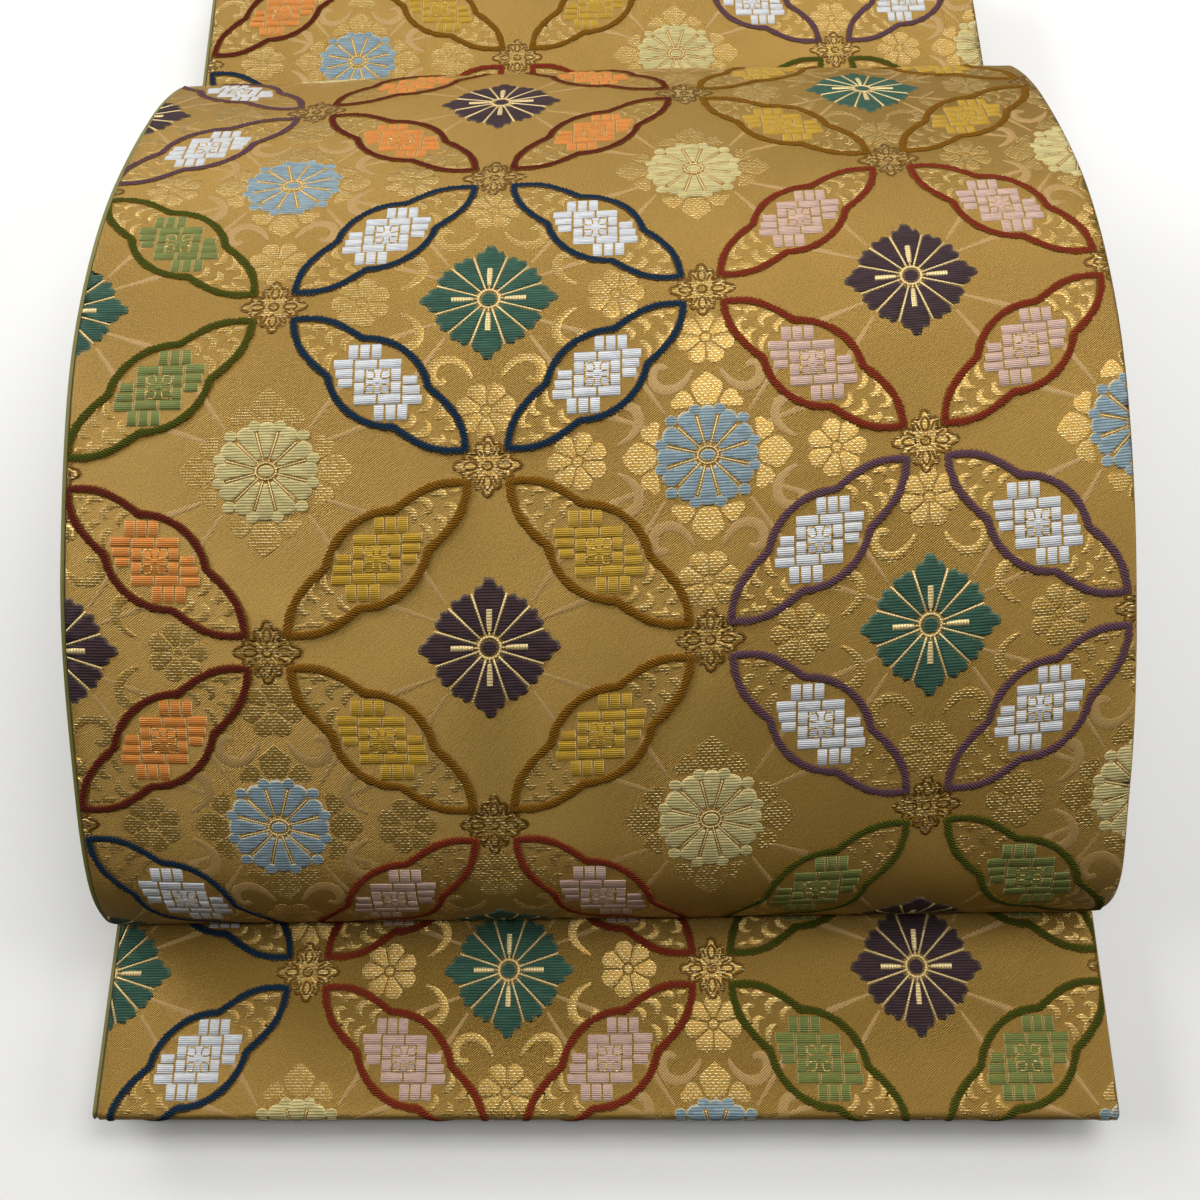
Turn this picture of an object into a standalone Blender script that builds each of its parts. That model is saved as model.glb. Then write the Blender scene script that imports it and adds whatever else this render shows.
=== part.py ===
"""Fukuro obi sash folded on a table, its drum roll standing on the folded length. Metres, +Z up.

The sash is one long double cloth. Seen from the side, its face follows one line, drawn here as
straight runs and arcs: back fold, flat back run, fold inside the drum, drum roll, tuck, flap, front
fold. Each stretch of that line becomes a face cloth wall and a lining wall 0.3 mm behind it.
"""

import math
from collections import namedtuple

import bmesh
import bpy
from mathutils import Matrix, Vector

MM = 0.001

# The cloth
CLOTH_WIDTH = 310 * MM
FACE_THICKNESS = 1.0 * MM
LINING_THICKNESS = 1.0 * MM
SEAM_GAP = 0.3 * MM
PLY = FACE_THICKNESS + SEAM_GAP + LINING_THICKNESS
EDGING_WIDTH = 1.0 * MM  # how far the lining, turned up, reaches in from each long edge
EDGING_ROUNDING = 0.6 * MM
EDGING_TOP = 0.25 * MM  # how far the turned-up edge stays below the face

# The folded length, seen from the side. Distances run back from the front fold.
SASH_DEPTH = 468 * MM
LAYER = 2.5 * MM
LOWER_LAYERS = 4
UPPER_LAYERS = 5
LOWER_FRONT = 3.5 * MM
UPPER_FRONT = 214 * MM
LAYERS_BACK = SASH_DEPTH - 2.5 * MM
LAYERS_WIDTH = 308 * MM
LAYER_CORNER = 2.0 * MM
LAYER_EDGE_ROUNDING = 0.5 * MM
LAYER_FOLD_ROUNDING = 1.4 * MM
LAYER_UNEVENNESS = 0.6 * MM
LEVELS_PER_LAYER = 4

# Folds of the whole cloth, measured on its face
OUTER_FOLD_RADIUS = 2.6 * MM
INNER_FOLD_RADIUS = 0.4 * MM
TUCK_RADIUS = 3.2 * MM
TUCK_REACH = 1.6 * MM
FLAP_UNDER_LENGTH = 205 * MM
FLAP_STRAIGHT = 12 * MM  # the flap lies square to the table this far back from its fold

FLAP_TOP = LOWER_LAYERS * LAYER + SEAM_GAP + 2 * OUTER_FOLD_RADIUS
BACK_TOP = (LOWER_LAYERS + UPPER_LAYERS) * LAYER + SEAM_GAP + 2 * OUTER_FOLD_RADIUS
TUCK_FROM_FRONT = 58.8 * MM
INNER_FOLD_FROM_FRONT = 218 * MM

# The drum roll: arcs from the cloth lying inside it, up round its back, over and down its front
RollArc = namedtuple("RollArc", "name length turn_degrees")
ROLL_ARCS = (
    RollArc("heel", 17.5 * MM, 78.0),
    RollArc("back", 16.4 * MM, 63.5),
    RollArc("rear slope", 40.7 * MM, 13.0),
    RollArc("shoulder", 45.0 * MM, 6.0),
    RollArc("crown", 87.5 * MM, 27.5),
    RollArc("front slope", 134.6 * MM, 27.5),
    RollArc("brow", 9.3 * MM, 8.0),
    RollArc("lip", 24.5 * MM, 46.5),
)

# How the drum sits: its right side lies further back, it grows to the right and swells at mid width.
# Turns are distance back for each distance across, and the drift is distance left for each back.
DRUM_TURN = 0.0133
DRUM_GROWTH = 0.020
DRUM_SWELL = 1.6 * MM
SWELL_FULL_AT = 25 * MM
INNER_FOLD_TURN = DRUM_TURN + DRUM_GROWTH * (INNER_FOLD_FROM_FRONT - TUCK_FROM_FRONT) / CLOTH_WIDTH
BACK_RUN_DRIFT = 0.017

# Mesh fineness
FLAT_COLUMNS = 1
SWOLLEN_COLUMNS = 6
LONGEST_STEP = 12 * MM
ARC_STEP_DEGREES = 7.0
FOLD_STEP_DEGREES = 30.0
FOLD_RADIUS_LIMIT = 4 * MM

FACE_GOLD = (0.46, 0.29, 0.085)
LINING_OLIVE = (0.27, 0.26, 0.055)
LAYERS_GOLD = (0.36, 0.25, 0.075)

Station = namedtuple("Station", "back height heading")


class ClothLine:
    """A line in the side view, drawn step by step. Back is the distance from the front fold."""

    def __init__(self, back, height, heading_degrees):
        self.stations = [Station(back, height, math.radians(heading_degrees))]

    @property
    def end(self):
        return self.stations[-1]

    def arc(self, length, turn_degrees):
        """Adds an arc that turns anticlockwise, or a straight run where the turn is nought."""
        turn = math.radians(turn_degrees)
        radius = length / abs(turn) if turn else math.inf
        step_degrees = FOLD_STEP_DEGREES if radius < FOLD_RADIUS_LIMIT else ARC_STEP_DEGREES
        steps = max(1, math.ceil(length / LONGEST_STEP), math.ceil(abs(turn_degrees) / step_degrees))
        for _ in range(steps):
            back, height, heading = self.end
            chord_heading = heading + turn / steps / 2
            half_turn = turn / steps / 2
            chord = length / steps * (math.sin(half_turn) / half_turn if turn else 1.0)
            back += chord * math.cos(chord_heading)
            height += chord * math.sin(chord_heading)
            self.stations.append(Station(back, height, heading + turn / steps))

    def run(self, length):
        self.arc(length, 0.0)

    def fold(self, radius, turn_degrees):
        self.arc(radius * math.radians(abs(turn_degrees)), turn_degrees)

    def trimmed(self, end_gap):
        """The stations with the last one drawn back by a gap, for the seam to the next stretch."""
        last = self.end
        back = last.back - end_gap * math.cos(last.heading)
        height = last.height - end_gap * math.sin(last.heading)
        return self.stations[:-1] + [Station(back, height, last.heading)]


def back_run_line():
    """From under the back run, round the back fold, forward, and over at the fold inside the drum."""
    lower_height = BACK_TOP - 2 * OUTER_FOLD_RADIUS
    fold_start = SASH_DEPTH - OUTER_FOLD_RADIUS
    line = ClothLine(UPPER_FRONT + LAYER, lower_height, 0.0)
    line.run(fold_start - line.end.back)
    line.fold(OUTER_FOLD_RADIUS, 180.0)
    line.run(line.end.back - INNER_FOLD_FROM_FRONT)
    line.fold(INNER_FOLD_RADIUS, -180.0)
    line.run(LAYER)
    return line


def drum_line(start):
    """From the cloth lying inside the drum, round the roll, to the tuck at its front."""
    line = ClothLine(start.back, start.height, 0.0)
    roll = ClothLine(0.0, start.height, 0.0)
    for arc in ROLL_ARCS:
        roll.arc(arc.length, arc.turn_degrees)
    line.run(TUCK_FROM_FRONT - roll.end.back - start.back)
    for arc in ROLL_ARCS:
        line.arc(arc.length, arc.turn_degrees)
    line.run(line.end.height - FLAP_TOP - 2 * INNER_FOLD_RADIUS - TUCK_RADIUS)
    line.fold(TUCK_RADIUS, 90.0)
    line.run(TUCK_REACH)
    line.fold(INNER_FOLD_RADIUS, -180.0)
    line.run(TUCK_REACH)
    return line


def flap_line(start):
    """From the tuck forward over the front fold, and back beneath as the lower ply."""
    line = ClothLine(start.back, start.height, 180.0)
    line.run(start.back - OUTER_FOLD_RADIUS)
    line.fold(OUTER_FOLD_RADIUS, 180.0)
    line.run(FLAP_UNDER_LENGTH)
    return line


class Lay:
    """How a stretch lies on the table: turned, drifting to the left, grown to one side and swollen."""

    def __init__(self, pivot_back, turn, turn_from=None, drift=0.0, growth=0.0, swell=0.0):
        self.pivot_back = pivot_back
        self.turn = turn
        self.turn_from = turn_from
        self.drift = drift
        self.growth = growth
        self.swell = swell

    def turn_at(self, back):
        """The whole turn, or a share that grows from the start of the turn to the pivot."""
        if self.turn_from is None:
            return self.turn
        share = (back - self.turn_from) / (self.pivot_back - self.turn_from)
        return self.turn * min(1.0, max(0.0, share))

    def place(self, across, depth, station):
        """The point at this distance across the cloth and this depth behind its face."""
        share = across / CLOTH_WIDTH
        raised = min(1.0, max(0.0, station.height - BACK_TOP) / SWELL_FULL_AT)
        out = self.swell * raised * (1 - (2 * share) ** 2) - depth
        back = station.back + math.sin(station.heading) * out
        height = station.height - math.cos(station.heading) * out
        from_pivot = back - self.pivot_back
        side = across - self.drift * from_pivot
        back += from_pivot * self.growth * share + self.turn_at(back) * across
        return Vector((side, back - SASH_DEPTH / 2, height))


def cloth_wall(name, stations, lay, across_profile, thickness, offset):
    """One cloth: a sheet laid along the stations, given its thickness by Solidify."""
    columns, rows = len(across_profile), len(stations)
    sheet = bmesh.new()
    bmesh.ops.create_grid(sheet, x_segments=columns - 1, y_segments=rows - 1, size=0.5)
    for vert in sheet.verts:
        column = round((vert.co.x + 0.5) * (columns - 1))
        row = round((vert.co.y + 0.5) * (rows - 1))
        across, depth = across_profile[column]
        vert.co = lay.place(across, depth, stations[row])
    bmesh.ops.reverse_faces(sheet, faces=sheet.faces)  # so that normals point to the face side
    mesh = bpy.data.meshes.new(name)
    sheet.to_mesh(mesh)
    sheet.free()
    wall = bpy.data.objects.new(name, mesh)
    parts.objects.link(wall)
    solidify = wall.modifiers.new("thickness", "SOLIDIFY")
    solidify.thickness = thickness
    solidify.offset = offset
    solidify.use_even_offset = True
    return wall


def evenly_across(half, depth, columns):
    """Points at one depth from the left to the right, this many spaces apart."""
    return [(half * (2 * column / columns - 1), depth) for column in range(columns + 1)]


def face_profile(columns):
    """Across the face cloth, inside its edging: (across, depth behind the face)."""
    return evenly_across(CLOTH_WIDTH / 2 - EDGING_WIDTH - SEAM_GAP, 0.0, columns)


def lining_profile(columns):
    """Across the lining, from the top of one turned-up edge, under the face, to the other."""
    half = CLOTH_WIDTH / 2
    turned_up = [(half, PLY - EDGING_ROUNDING), (half, EDGING_TOP)]
    left = [(-across, depth) for across, depth in reversed(turned_up)]
    return left + evenly_across(half - EDGING_ROUNDING, PLY, columns) + turned_up


def principled(name, colour, roughness):
    """A cloth finish with a little sheen."""
    material = bpy.data.materials.new(name)
    material.use_nodes = True
    shader = material.node_tree.nodes["Principled BSDF"]
    shader.inputs["Base Color"].default_value = (*colour, 1.0)
    shader.inputs["Roughness"].default_value = roughness
    shader.inputs["Metallic"].default_value = 0.0
    shader.inputs["Sheen Weight"].default_value = 0.2
    return material


def make_stretch(name, stations, lay):
    """The face cloth and the lining of one stretch."""
    columns = SWOLLEN_COLUMNS if lay.swell else FLAT_COLUMNS
    face = cloth_wall(f"{name}_face", stations, lay, face_profile(columns), FACE_THICKNESS, -1.0)
    face.data.materials.append(gold)
    lining = cloth_wall(f"{name}_lining", stations, lay, lining_profile(columns), LINING_THICKNESS, 1.0)
    lining.data.materials.append(olive)


def layer_ring(front, back, half_width, height, front_inset, back_inset, side_inset):
    """One level of the folded length: a rectangle with its corners cut, as points in order."""
    corner = LAYER_CORNER
    left, right = -half_width + side_inset, half_width - side_inset
    near, far = front + front_inset, back - back_inset
    outline = (
        (left + corner, near),
        (right - corner, near),
        (right, near + corner),
        (right, far - corner),
        (right - corner, far),
        (left + corner, far),
        (left, far - corner),
        (left, near + corner),
    )
    return [Vector((x, y - SASH_DEPTH / 2, height)) for x, y in outline]


def fold_inset(height, pitch, depth):
    """How far a rounded edge of this pitch draws in at a height: nought at mid pitch."""
    phase = (height / pitch) % 1.0
    return depth * abs(2 * phase - 1) ** 2


def folded_length():
    """The hidden length below, as one rounded solid, layered at its edges."""
    shell = bmesh.new()
    below = None
    total = LOWER_LAYERS + UPPER_LAYERS
    ledge_step = LOWER_LAYERS * LEVELS_PER_LAYER
    for step in range(total * LEVELS_PER_LAYER + 1):
        height = step / LEVELS_PER_LAYER * LAYER
        layer = min(total - 1, step // LEVELS_PER_LAYER)
        uneven = LAYER_UNEVENNESS * math.sin(2.3 * layer)  # no two layers end alike
        side = fold_inset(height, LAYER, LAYER_EDGE_ROUNDING)
        back_fold = fold_inset(height + LAYER, 2 * LAYER, LAYER_FOLD_ROUNDING)
        front_fold = fold_inset(height, 2 * LAYER, LAYER_FOLD_ROUNDING)
        fronts = [LOWER_FRONT if step <= ledge_step else UPPER_FRONT]
        if step == ledge_step:
            fronts.append(UPPER_FRONT)
        for front in fronts:
            outline = layer_ring(
                front, LAYERS_BACK, LAYERS_WIDTH / 2, height, front_fold + uneven, back_fold, side
            )
            ring = [shell.verts.new(point) for point in outline]
            loop = [shell.edges.new((ring[i - 1], ring[i])) for i in range(len(ring))]
            if below is None:
                shell.faces.new(ring)
            else:
                bmesh.ops.bridge_loops(shell, edges=below + loop)
            below = loop
    shell.faces.new(ring)
    bmesh.ops.recalc_face_normals(shell, faces=shell.faces)
    mesh = bpy.data.meshes.new("folded_layers")
    shell.to_mesh(mesh)
    shell.free()
    layers = bpy.data.objects.new("folded_layers", mesh)
    parts.objects.link(layers)
    layers.data.materials.append(layered)


def centre_on_origin():
    """Moves every mesh so that the whole sash stands centred over the origin, on its underside."""
    bpy.context.view_layer.update()
    graph = bpy.context.evaluated_depsgraph_get()
    corners = [Vector(c) for part in parts.objects for c in part.evaluated_get(graph).bound_box]
    middle = Vector(
        (min(c[axis] for c in corners) + max(c[axis] for c in corners)) / 2 for axis in range(3)
    )
    middle.z = min(corner.z for corner in corners)
    for part in parts.objects:
        part.data.transform(Matrix.Translation(-middle))


for leftover in list(bpy.data.objects):
    bpy.data.objects.remove(leftover, do_unlink=True)
bpy.context.scene.unit_settings.system = "METRIC"
parts = bpy.data.collections.new("obi sash")
bpy.context.scene.collection.children.link(parts)

gold = principled("gold_brocade", FACE_GOLD, 0.5)
olive = principled("olive_lining", LINING_OLIVE, 0.55)
layered = principled("layer_edges", LAYERS_GOLD, 0.6)

back_run = back_run_line()
drum = drum_line(back_run.end)
flap = flap_line(drum.end)
back_lay = Lay(INNER_FOLD_FROM_FRONT, INNER_FOLD_TURN, drift=BACK_RUN_DRIFT)
drum_lay = Lay(TUCK_FROM_FRONT, DRUM_TURN, growth=DRUM_GROWTH, swell=DRUM_SWELL)
flap_lay = Lay(TUCK_FROM_FRONT, DRUM_TURN, turn_from=FLAP_STRAIGHT)
make_stretch("back_run", back_run.trimmed(SEAM_GAP), back_lay)
make_stretch("drum", drum.trimmed(SEAM_GAP), drum_lay)
make_stretch("flap", flap.stations, flap_lay)
folded_length()
centre_on_origin()
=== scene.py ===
"""The looks of a folded brocade obi sash: gold ground, woven petals, flowers and gold thread."""

import bisect
import logging
import math
import random
from dataclasses import dataclass
from enum import Enum
from typing import Callable, Iterable, Sequence

import bmesh
import bpy
from mathutils import Matrix, Vector


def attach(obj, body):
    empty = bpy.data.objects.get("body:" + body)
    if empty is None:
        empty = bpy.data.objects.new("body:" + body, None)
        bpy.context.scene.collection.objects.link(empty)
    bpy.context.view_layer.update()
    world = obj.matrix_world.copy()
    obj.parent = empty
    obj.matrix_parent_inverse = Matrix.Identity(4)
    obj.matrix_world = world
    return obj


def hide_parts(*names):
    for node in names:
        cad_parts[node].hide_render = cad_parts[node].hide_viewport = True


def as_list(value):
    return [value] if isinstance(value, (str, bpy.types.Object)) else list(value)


MM = 0.001
Colour = tuple[float, float, float]
Point = tuple[float, float]
Piece, Mesh, Material = bpy.types.Object, bpy.types.Mesh, bpy.types.Material
Tree, Node, Socket = bpy.types.NodeTree, bpy.types.Node, bpy.types.NodeSocket

log = logging.getLogger("obi")
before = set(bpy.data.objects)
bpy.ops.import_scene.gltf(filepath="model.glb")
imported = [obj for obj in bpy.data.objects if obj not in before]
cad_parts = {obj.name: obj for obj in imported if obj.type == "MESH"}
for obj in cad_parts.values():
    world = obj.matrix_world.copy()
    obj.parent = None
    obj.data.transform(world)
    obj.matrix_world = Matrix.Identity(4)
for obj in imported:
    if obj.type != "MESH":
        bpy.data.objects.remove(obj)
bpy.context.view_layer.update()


def dyed(red: int, green: int, blue: int) -> Colour:
    """A colour as the eye names it, 0 to 255, made linear."""

    def linear(value: int) -> float:
        """One channel of it."""
        share = value / 255
        return share / 12.92 if share <= 0.04045 else ((share + 0.055) / 1.055) ** 2.4

    return (linear(red), linear(green), linear(blue))


def toned(colour: Colour, gain: float, lift: float = 0.0) -> Colour:
    """The colour made darker or paler."""
    return tuple(channel * gain + lift for channel in colour)


# ---- the cloth's way


@dataclass(frozen=True)
class Cloth:
    """Sizes through and across the doubled cloth, from its face inwards."""

    width: float = 310 * MM
    face: float = 1.0 * MM
    lining: float = 1.0 * MM
    seam_gap: float = 0.3 * MM
    edging_width: float = 1.0 * MM
    edging_swell: float = 0.35 * MM
    outer_fold: float = 2.6 * MM
    inner_fold: float = 0.4 * MM

    @property
    def face_half(self) -> float:
        """From the middle to where the face cloth meets its edging."""
        return self.width / 2 - self.edging_width - self.seam_gap

    @property
    def lining_depth(self) -> float:
        """From the face to the lining's outer side."""
        return self.face + self.seam_gap + self.lining


@dataclass(frozen=True)
class Folding:
    """How long and how high the folded sash lies, seen from its side."""

    depth: float = 468 * MM
    layer: float = 2.5 * MM
    lower_layers: int = 4
    upper_layers: int = 5
    lower_front: float = 3.5 * MM
    upper_front: float = 214 * MM
    flap_top: float = 15.5 * MM
    back_top: float = 28.0 * MM
    tuck_front: float = 58.8 * MM
    tuck_radius: float = 3.2 * MM
    tuck_reach: float = 1.6 * MM
    inner_fold_front: float = 218 * MM
    flap_under: float = 205 * MM
    # The shift that brings the finished part over its origin.
    middle_back: float = 235.8 * MM
    middle_across: float = 2.1 * MM


CLOTH = Cloth()
FOLDING = Folding()

# The widest fold that needs rows close together, and how far a crease reaches, as shares of its size.
TIGHT_FOLD = 8 * MM
CREASE_REACH = 2.2

# The drum's side view from its heel over the crown to its lip: (length, turn in degrees).
ROLL_ARCS: tuple[Point, ...] = (
    (17.5 * MM, 78.0),
    (16.4 * MM, 63.5),
    (40.7 * MM, 13.0),
    (45.0 * MM, 6.0),
    (87.5 * MM, 27.5),
    (134.6 * MM, 27.5),
    (9.3 * MM, 8.0),
    (24.5 * MM, 46.5),
)


@dataclass(frozen=True)
class Station:
    """A place on the side view, and which way the cloth runs there."""

    back: float
    height: float
    heading: float


@dataclass(frozen=True)
class Span:
    """One straight run or arc of a ply."""

    start: float
    begin: Station
    length: float
    turn: float

    def at(self, distance: float) -> Station:
        """The station at this distance along the whole ply."""
        covered = distance - self.start
        half_turn = self.turn * covered / self.length / 2
        chord = covered * (math.sin(half_turn) / half_turn if half_turn else 1.0)
        slope = self.begin.heading + half_turn
        return Station(
            self.begin.back + chord * math.cos(slope),
            self.begin.height + chord * math.sin(slope),
            self.begin.heading + 2 * half_turn,
        )


class ClothLine:
    """The side view of one stretch of cloth, built span by span."""

    def __init__(self, back: float, height: float, heading_degrees: float) -> None:
        """Starts the line.

        Args:
            back: distance behind the sash's front fold.
            height: height above the table.
            heading_degrees: the way it runs, 0 being towards the back and 90 upwards.
        """
        self.end = Station(back, height, math.radians(heading_degrees))
        self.spans: list[Span] = []
        self.length = 0.0

    def arc(self, length: float, turn_degrees: float) -> None:
        """Adds an arc that turns anticlockwise, or a straight run where the turn is nought."""
        if length <= 0:
            return
        span = Span(self.length, self.end, length, math.radians(turn_degrees))
        self.spans.append(span)
        self.length += length
        self.end = span.at(self.length)

    def run(self, length: float) -> None:
        """Adds a straight run."""
        self.arc(length, 0.0)

    def fold(self, radius: float, turn_degrees: float) -> None:
        """Adds a fold round this radius."""
        self.arc(radius * math.radians(abs(turn_degrees)), turn_degrees)

    def at(self, distance: float) -> Station:
        """The station at this distance, kept to the line's own length."""
        inside = min(self.length, max(0.0, distance))
        starts = [span.start for span in self.spans]
        return self.spans[max(0, bisect.bisect_right(starts, inside) - 1)].at(inside)

    def distances(self, step: float, fold_step: float) -> list[float]:
        """Where to put the rows of a mesh: closer together round the tight folds."""
        found = [0.0]
        for span in self.spans:
            tight = span.turn and span.length / abs(span.turn) < TIGHT_FOLD
            count = max(1, math.ceil(span.length / (fold_step if tight else step)))
            found += [span.start + span.length * (i + 1) / count for i in range(count)]
        return found


def back_run_line() -> ClothLine:
    """From under the back run, round the back fold, forward, and over inside the drum."""
    radius = CLOTH.outer_fold
    line = ClothLine(FOLDING.upper_front + FOLDING.layer, FOLDING.back_top - 2 * radius, 0.0)
    line.run(FOLDING.depth - radius - line.end.back)
    line.fold(radius, 180.0)
    line.run(line.end.back - FOLDING.inner_fold_front)
    line.fold(CLOTH.inner_fold, -180.0)
    line.run(FOLDING.layer)
    return line


def drum_line(start: Station) -> ClothLine:
    """From inside the drum, round the roll, to the tuck at its front."""
    line = ClothLine(start.back, start.height, 0.0)
    roll = ClothLine(0.0, start.height, 0.0)
    for length, turn in ROLL_ARCS:
        roll.arc(length, turn)
    line.run(FOLDING.tuck_front - roll.end.back - start.back)
    for length, turn in ROLL_ARCS:
        line.arc(length, turn)
    line.run(line.end.height - FOLDING.flap_top - 2 * CLOTH.inner_fold - FOLDING.tuck_radius)
    line.fold(FOLDING.tuck_radius, 90.0)
    line.run(FOLDING.tuck_reach)
    line.fold(CLOTH.inner_fold, -180.0)
    line.run(FOLDING.tuck_reach)
    return line


def flap_line(start: Station) -> ClothLine:
    """From the tuck forward over the front fold, and back beneath."""
    line = ClothLine(start.back, start.height, 180.0)
    line.run(start.back - CLOTH.outer_fold)
    line.fold(CLOTH.outer_fold, 180.0)
    line.run(FOLDING.flap_under)
    return line


@dataclass(frozen=True)
class Crease:
    """A soft trough or ridge: its middle, its reach along and across itself, and its lift."""

    across: float
    along: float
    reach: float
    breadth: float
    lift: float
    lean_degrees: float = 0.0

    def lift_at(self, across: float, along: float) -> float:
        """How far it lifts the cloth here."""
        lean = math.radians(self.lean_degrees)
        side, ahead = across - self.across, along - self.along
        run = (side * math.sin(lean) + ahead * math.cos(lean)) / self.reach
        off = (side * math.cos(lean) - ahead * math.sin(lean)) / self.breadth
        if max(abs(run), abs(off)) > CREASE_REACH:
            return 0.0
        return self.lift * math.exp(-run * run - off * off)


@dataclass(frozen=True)
class Lay:
    """How a stretch lies: turned, drifting, grown to one side, swollen and creased."""

    pivot_back: float
    turn: float
    turn_from: float | None = None
    drift: float = 0.0
    growth: float = 0.0
    swell: float = 0.0
    swell_full_at: float = 25 * MM
    creases: tuple[Crease, ...] = ()
    # Where the edges draw in: (distance along, left edge's share, right edge's share).
    drawn: tuple[tuple[float, float, float], ...] = ()

    def turn_at(self, back: float) -> float:
        """The whole turn, or the share of it that has grown by here."""
        if self.turn_from is None:
            return self.turn
        share = (back - self.turn_from) / (self.pivot_back - self.turn_from)
        return self.turn * min(1.0, max(0.0, share))

    def drawn_at(self, across: float, along: float) -> float:
        """The share by which this side of the cloth is drawn in here."""
        side = 1 if across < 0 else 2
        if not self.drawn or along <= self.drawn[0][0]:
            return self.drawn[0][side] if self.drawn else 0.0
        for before, after in zip(self.drawn, self.drawn[1:]):
            if along <= after[0]:
                share = (along - before[0]) / (after[0] - before[0])
                return before[side] + (after[side] - before[side]) * share * share * (3 - 2 * share)
        return self.drawn[-1][side]

    def place(self, across: float, along: float, out: float, station: Station) -> Vector:
        """The point of the cloth in the sash's own frame.

        Args:
            across: distance from the cloth's middle.
            along: distance along the stretch, which finds the creases.
            out: distance outside the face.
            station: where the stretch is, in the side view.

        Returns:
            The point, in metres.
        """
        share = across / CLOTH.width
        raised = min(1.0, max(0.0, station.height - FOLDING.back_top) / self.swell_full_at)
        out += self.swell * raised * (1 - (2 * share) ** 2)
        out += sum(crease.lift_at(across, along) for crease in self.creases)
        back = station.back + math.sin(station.heading) * out
        height = station.height - math.cos(station.heading) * out
        from_pivot = back - self.pivot_back
        side = across * (1 - self.drawn_at(across, along)) - self.drift * from_pivot + FOLDING.middle_across
        back += from_pivot * self.growth * share + self.turn_at(back) * across
        return Vector((side, back - FOLDING.middle_back, height))


@dataclass
class Stretch:
    """One stretch of cloth that shows, with the woven pattern's place on it.

    The pattern is counted in rows from the bottom of the front, `row_pitch` apart. `origin` is the
    distance along the stretch at which row nought lies, and the first and last that are woven are
    given as distances along the stretch too.
    """

    name: str
    line: ClothLine
    lay: Lay
    origin: float
    first: float
    last: float
    skew: float = 0.0
    skew_growth: float = 0.0
    bow: float = 0.0
    shift: float = 0.0
    lean: float = 0.0
    # Where another ply presses the pattern down, how far along that reaches, and to what share.
    pressed_at: tuple[float, ...] = ()
    pressed_reach: float = 6 * MM
    pressed_share: float = 0.3
    # The widest bend that needs extra cuts, and how far a straight piece may stray from it.
    tight_bend: float = 40 * MM
    most_sag: float = 0.04 * MM

    def along_at(self, across: float, up: float) -> float:
        """The distance along the cloth of a point of the pattern."""
        share = 2 * across / CLOTH.width
        slant = self.skew + self.skew_growth * up
        return self.origin - up - slant * across + self.bow * (1 - share * share)

    def across_at(self, across: float, up: float) -> float:
        """The place across the cloth of a point of the pattern."""
        return across + self.shift + self.lean * up

    def cloth_point(self, across: float, along: float, out: float = 0.0) -> Vector:
        """A point at this distance along the stretch."""
        return self.lay.place(across, along, out, self.line.at(along))

    def bend_cuts(self) -> list[float]:
        """Rows of the pattern, close together, wherever the cloth bends tightly."""
        found = []
        margin = self.bow + 2 * MM
        for span in self.line.spans:
            radius = span.length / abs(span.turn) if span.turn else math.inf
            if radius > self.tight_bend:
                continue
            first = max(self.first, span.start - margin)
            last = min(self.last, span.start + span.length + margin)
            if first < last:
                count = math.ceil((last - first) / math.sqrt(8 * radius * self.most_sag))
                found += [self.origin - first - (last - first) * i / count for i in range(count + 1)]
        return found

    def pattern_point(self, across: float, up: float, out: float) -> Vector:
        """A point of the pattern, pressed flatter where another ply lies on it."""
        along = self.along_at(across, up)
        for place in self.pressed_at:
            away = min(1.0, abs(along - place) / self.pressed_reach)
            if out > 0:
                out *= self.pressed_share + (1 - self.pressed_share) * away
        return self.lay.place(across, along, out, self.line.at(along))


# ---- shaping


# How far the gold figures of the ground stand out, and how near two points are one.
LAME_HEIGHT = 0.042 * MM
SAME_POINT = 1e-7


def finished_mesh(name: str, shape: bmesh.types.BMesh) -> Mesh:
    """The mesh of a shape, which is then done with."""
    mesh = bpy.data.meshes.new(name)
    shape.to_mesh(mesh)
    shape.free()
    return mesh


def new_object(
    name: str, shape: bmesh.types.BMesh, materials: Iterable[Material]
) -> Piece:
    """Puts a shape in the scene with its materials."""
    mesh = finished_mesh(name, shape)
    piece = bpy.data.objects.new(name, mesh)
    bpy.context.scene.collection.objects.link(piece)
    for material in materials:
        mesh.materials.append(material)
    return piece


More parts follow.
